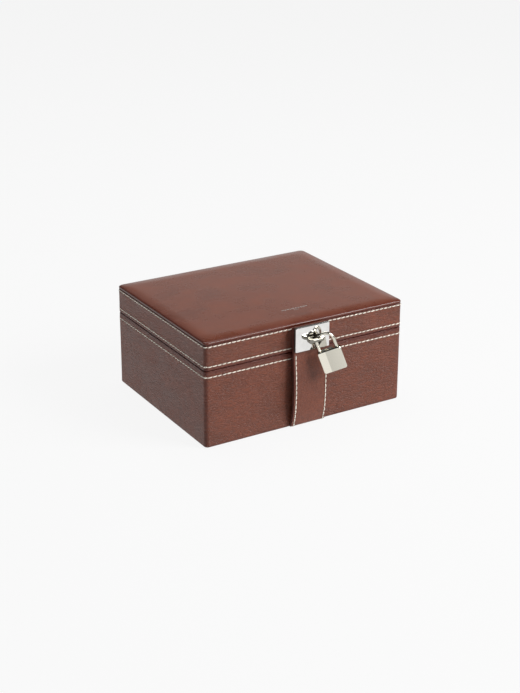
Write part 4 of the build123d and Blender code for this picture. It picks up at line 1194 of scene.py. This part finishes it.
class CASE_OT_stage(Operator):
    """Stage: pale floor, soft lights, surroundings and the camera"""

    bl_idname = "jewellery_case.stage"
    bl_label = "Stage"

    def execute(self, context):
        scene = context.scene
        scene.view_settings.view_transform = "Standard"
        self.lay_floor(scene)
        softbox("key_light", (1.1, -1.3, 1.25), (1.0, 1.0), 50.0)
        softbox("top_light", (0.1, 0.5, 1.7), (1.6, 1.2), 14.0)
        self.surroundings(scene)
        self.set_camera(scene)
        return {"FINISHED"}

    def lay_floor(self, scene):
        """A pale floor just under the case, whose finish is mostly its own glow."""
        shade = scene.jewellery_case.floor_colour
        ground = Finish("pale_floor")
        cloud = ground.noise(ground.stretched((400.0, 400.0, 400.0)), detail=2.0)
        ground.finish(Base_Color=ground.tint(cloud, rgba(shade), rgba(shade, 1.02)), Roughness=0.9)
        glow = ground.add("ShaderNodeEmission", {"Color": FLOOR_SHADE, "Strength": 1.0}).outputs[0]
        parts = {0: FLOOR_GLOW, 1: ground.shader.outputs[0], 2: glow}
        blend = ground.add("ShaderNodeMixShader", parts)
        ground.links.new(blend.outputs[0], ground.nodes["Material Output"].inputs["Surface"])
        ways = ((-1, -1), (1, -1), (1, 1), (-1, 1))
        spots = [(FLOOR_REACH * x, FLOOR_REACH * y, -FLOOR_DROP) for x, y in ways]
        mesh = bpy.data.meshes.new("floor")
        mesh.from_pydata(spots, [], [(0, 1, 2, 3)])
        mesh.materials.append(ground.material)
        floor = bpy.data.objects.new("floor", mesh)
        scene.collection.objects.link(floor)

    def set_camera(self, scene):
        """The camera: its back looks along turn and rise, it is rolled about that line, and then it is
        moved along its own three axes."""
        turn = math.radians(CAMERA_TURN)
        rise = math.radians(CAMERA_RISE)
        back = Vector((math.sin(turn) * math.cos(rise), -math.cos(turn) * math.cos(rise), math.sin(rise)))
        right = Vector((math.cos(turn), math.sin(turn), 0.0))
        axes = Matrix((right, back.cross(right), back)).transposed()
        basis = axes @ Matrix.Rotation(math.radians(CAMERA_ROLL), 3, "Z")
        place = basis @ Vector((-CAMERA_SIDE, -CAMERA_DROP, CAMERA_AWAY))
        lens = bpy.data.cameras.new("camera")
        lens.lens = CAMERA_LENS
        lens.sensor_width = 36.0
        lens.shift_y = CAMERA_SHIFT
        lens.clip_start = 0.01
        lens.clip_end = 60.0
        camera = bpy.data.objects.new("camera", lens)
        scene.collection.objects.link(camera)
        camera.matrix_world = Matrix.Translation(place) @ basis.to_4x4()
        scene.camera = camera

    def surroundings(self, scene):
        """The world: bright low down at the back, and falling away overhead, in front and on the left.
        Its strength is the product of three ramps, over height, over side and over front to back."""
        world = bpy.data.worlds.new("surroundings")
        scene.world = world
        world.use_nodes = True
        nodes = world.node_tree.nodes
        links = world.node_tree.links
        way = nodes.new("ShaderNodeTexCoord")
        split = nodes.new("ShaderNodeSeparateXYZ")
        links.new(way.outputs["Generated"], split.inputs[0])
        strength = None
        for axis, start, end, low, high in WORLD_RAMPS:
            ramp = nodes.new("ShaderNodeMapRange")
            ramp.interpolation_type = "SMOOTHSTEP"
            links.new(split.outputs[axis], ramp.inputs["Value"])
            for socket, value in zip(ramp.inputs[1:5], (start, end, low, high)):
                socket.default_value = value
            if strength is None:
                strength = ramp.outputs[0]
                continue
            both = nodes.new("ShaderNodeMath")
            both.operation = "MULTIPLY"
            links.new(strength, both.inputs[0])
            links.new(ramp.outputs[0], both.inputs[1])
            strength = both.outputs[0]
        links.new(strength, nodes["Background"].inputs["Strength"])
        nodes["Background"].inputs["Color"].default_value = (1.0, 0.995, 0.985, 1.0)


OPERATORS = (
    CASE_OT_base_leather,
    CASE_OT_lid_leather,
    CASE_OT_lid_cover,
    CASE_OT_case_stitching,
    CASE_OT_strap,
    CASE_OT_ornament,
    CASE_OT_floor_pad,
    CASE_OT_ring_bed,
    CASE_OT_ring_rolls,
    CASE_OT_finishes,
    CASE_OT_stage,
)


class CASE_PT_panel(Panel):
    """Jewellery case: its sizes and colours, and a button for each piece"""

    bl_idname = "CASE_PT_panel"
    bl_label = "Jewellery Case"
    bl_space_type = "VIEW_3D"
    bl_region_type = "UI"
    bl_category = "Jewellery Case"

    def draw(self, context):
        look = context.scene.jewellery_case
        column = self.layout.column(align=True)
        for key in CaseSettings.__annotations__:
            column.prop(look, key)
        column.separator()
        for operator in OPERATORS:
            column.operator(operator.bl_idname)


def register():
    """Registers the settings, the operators and the panel."""
    bpy.utils.register_class(CaseSettings)
    bpy.types.Scene.jewellery_case = PointerProperty(type=CaseSettings)
    for operator in OPERATORS:
        bpy.utils.register_class(operator)
    bpy.utils.register_class(CASE_PT_panel)


def unregister():
    """Takes the panel, the operators and the settings away again."""
    bpy.utils.unregister_class(CASE_PT_panel)
    for operator in reversed(OPERATORS):
        bpy.utils.unregister_class(operator)
    del bpy.types.Scene.jewellery_case
    bpy.utils.unregister_class(CaseSettings)


def main():
    """Builds the whole case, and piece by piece."""
    register()
    bpy.ops.jewellery_case.base_leather()
    bpy.ops.jewellery_case.lid_leather()
    bpy.ops.jewellery_case.lid_cover()
    bpy.ops.jewellery_case.case_stitching()
    bpy.ops.jewellery_case.strap()
    bpy.ops.jewellery_case.ornament()
    bpy.ops.jewellery_case.floor_pad()
    bpy.ops.jewellery_case.ring_bed()
    bpy.ops.jewellery_case.ring_rolls()
    bpy.ops.jewellery_case.finishes()
    bpy.ops.jewellery_case.stage()


if __name__ == "__main__":
    main()
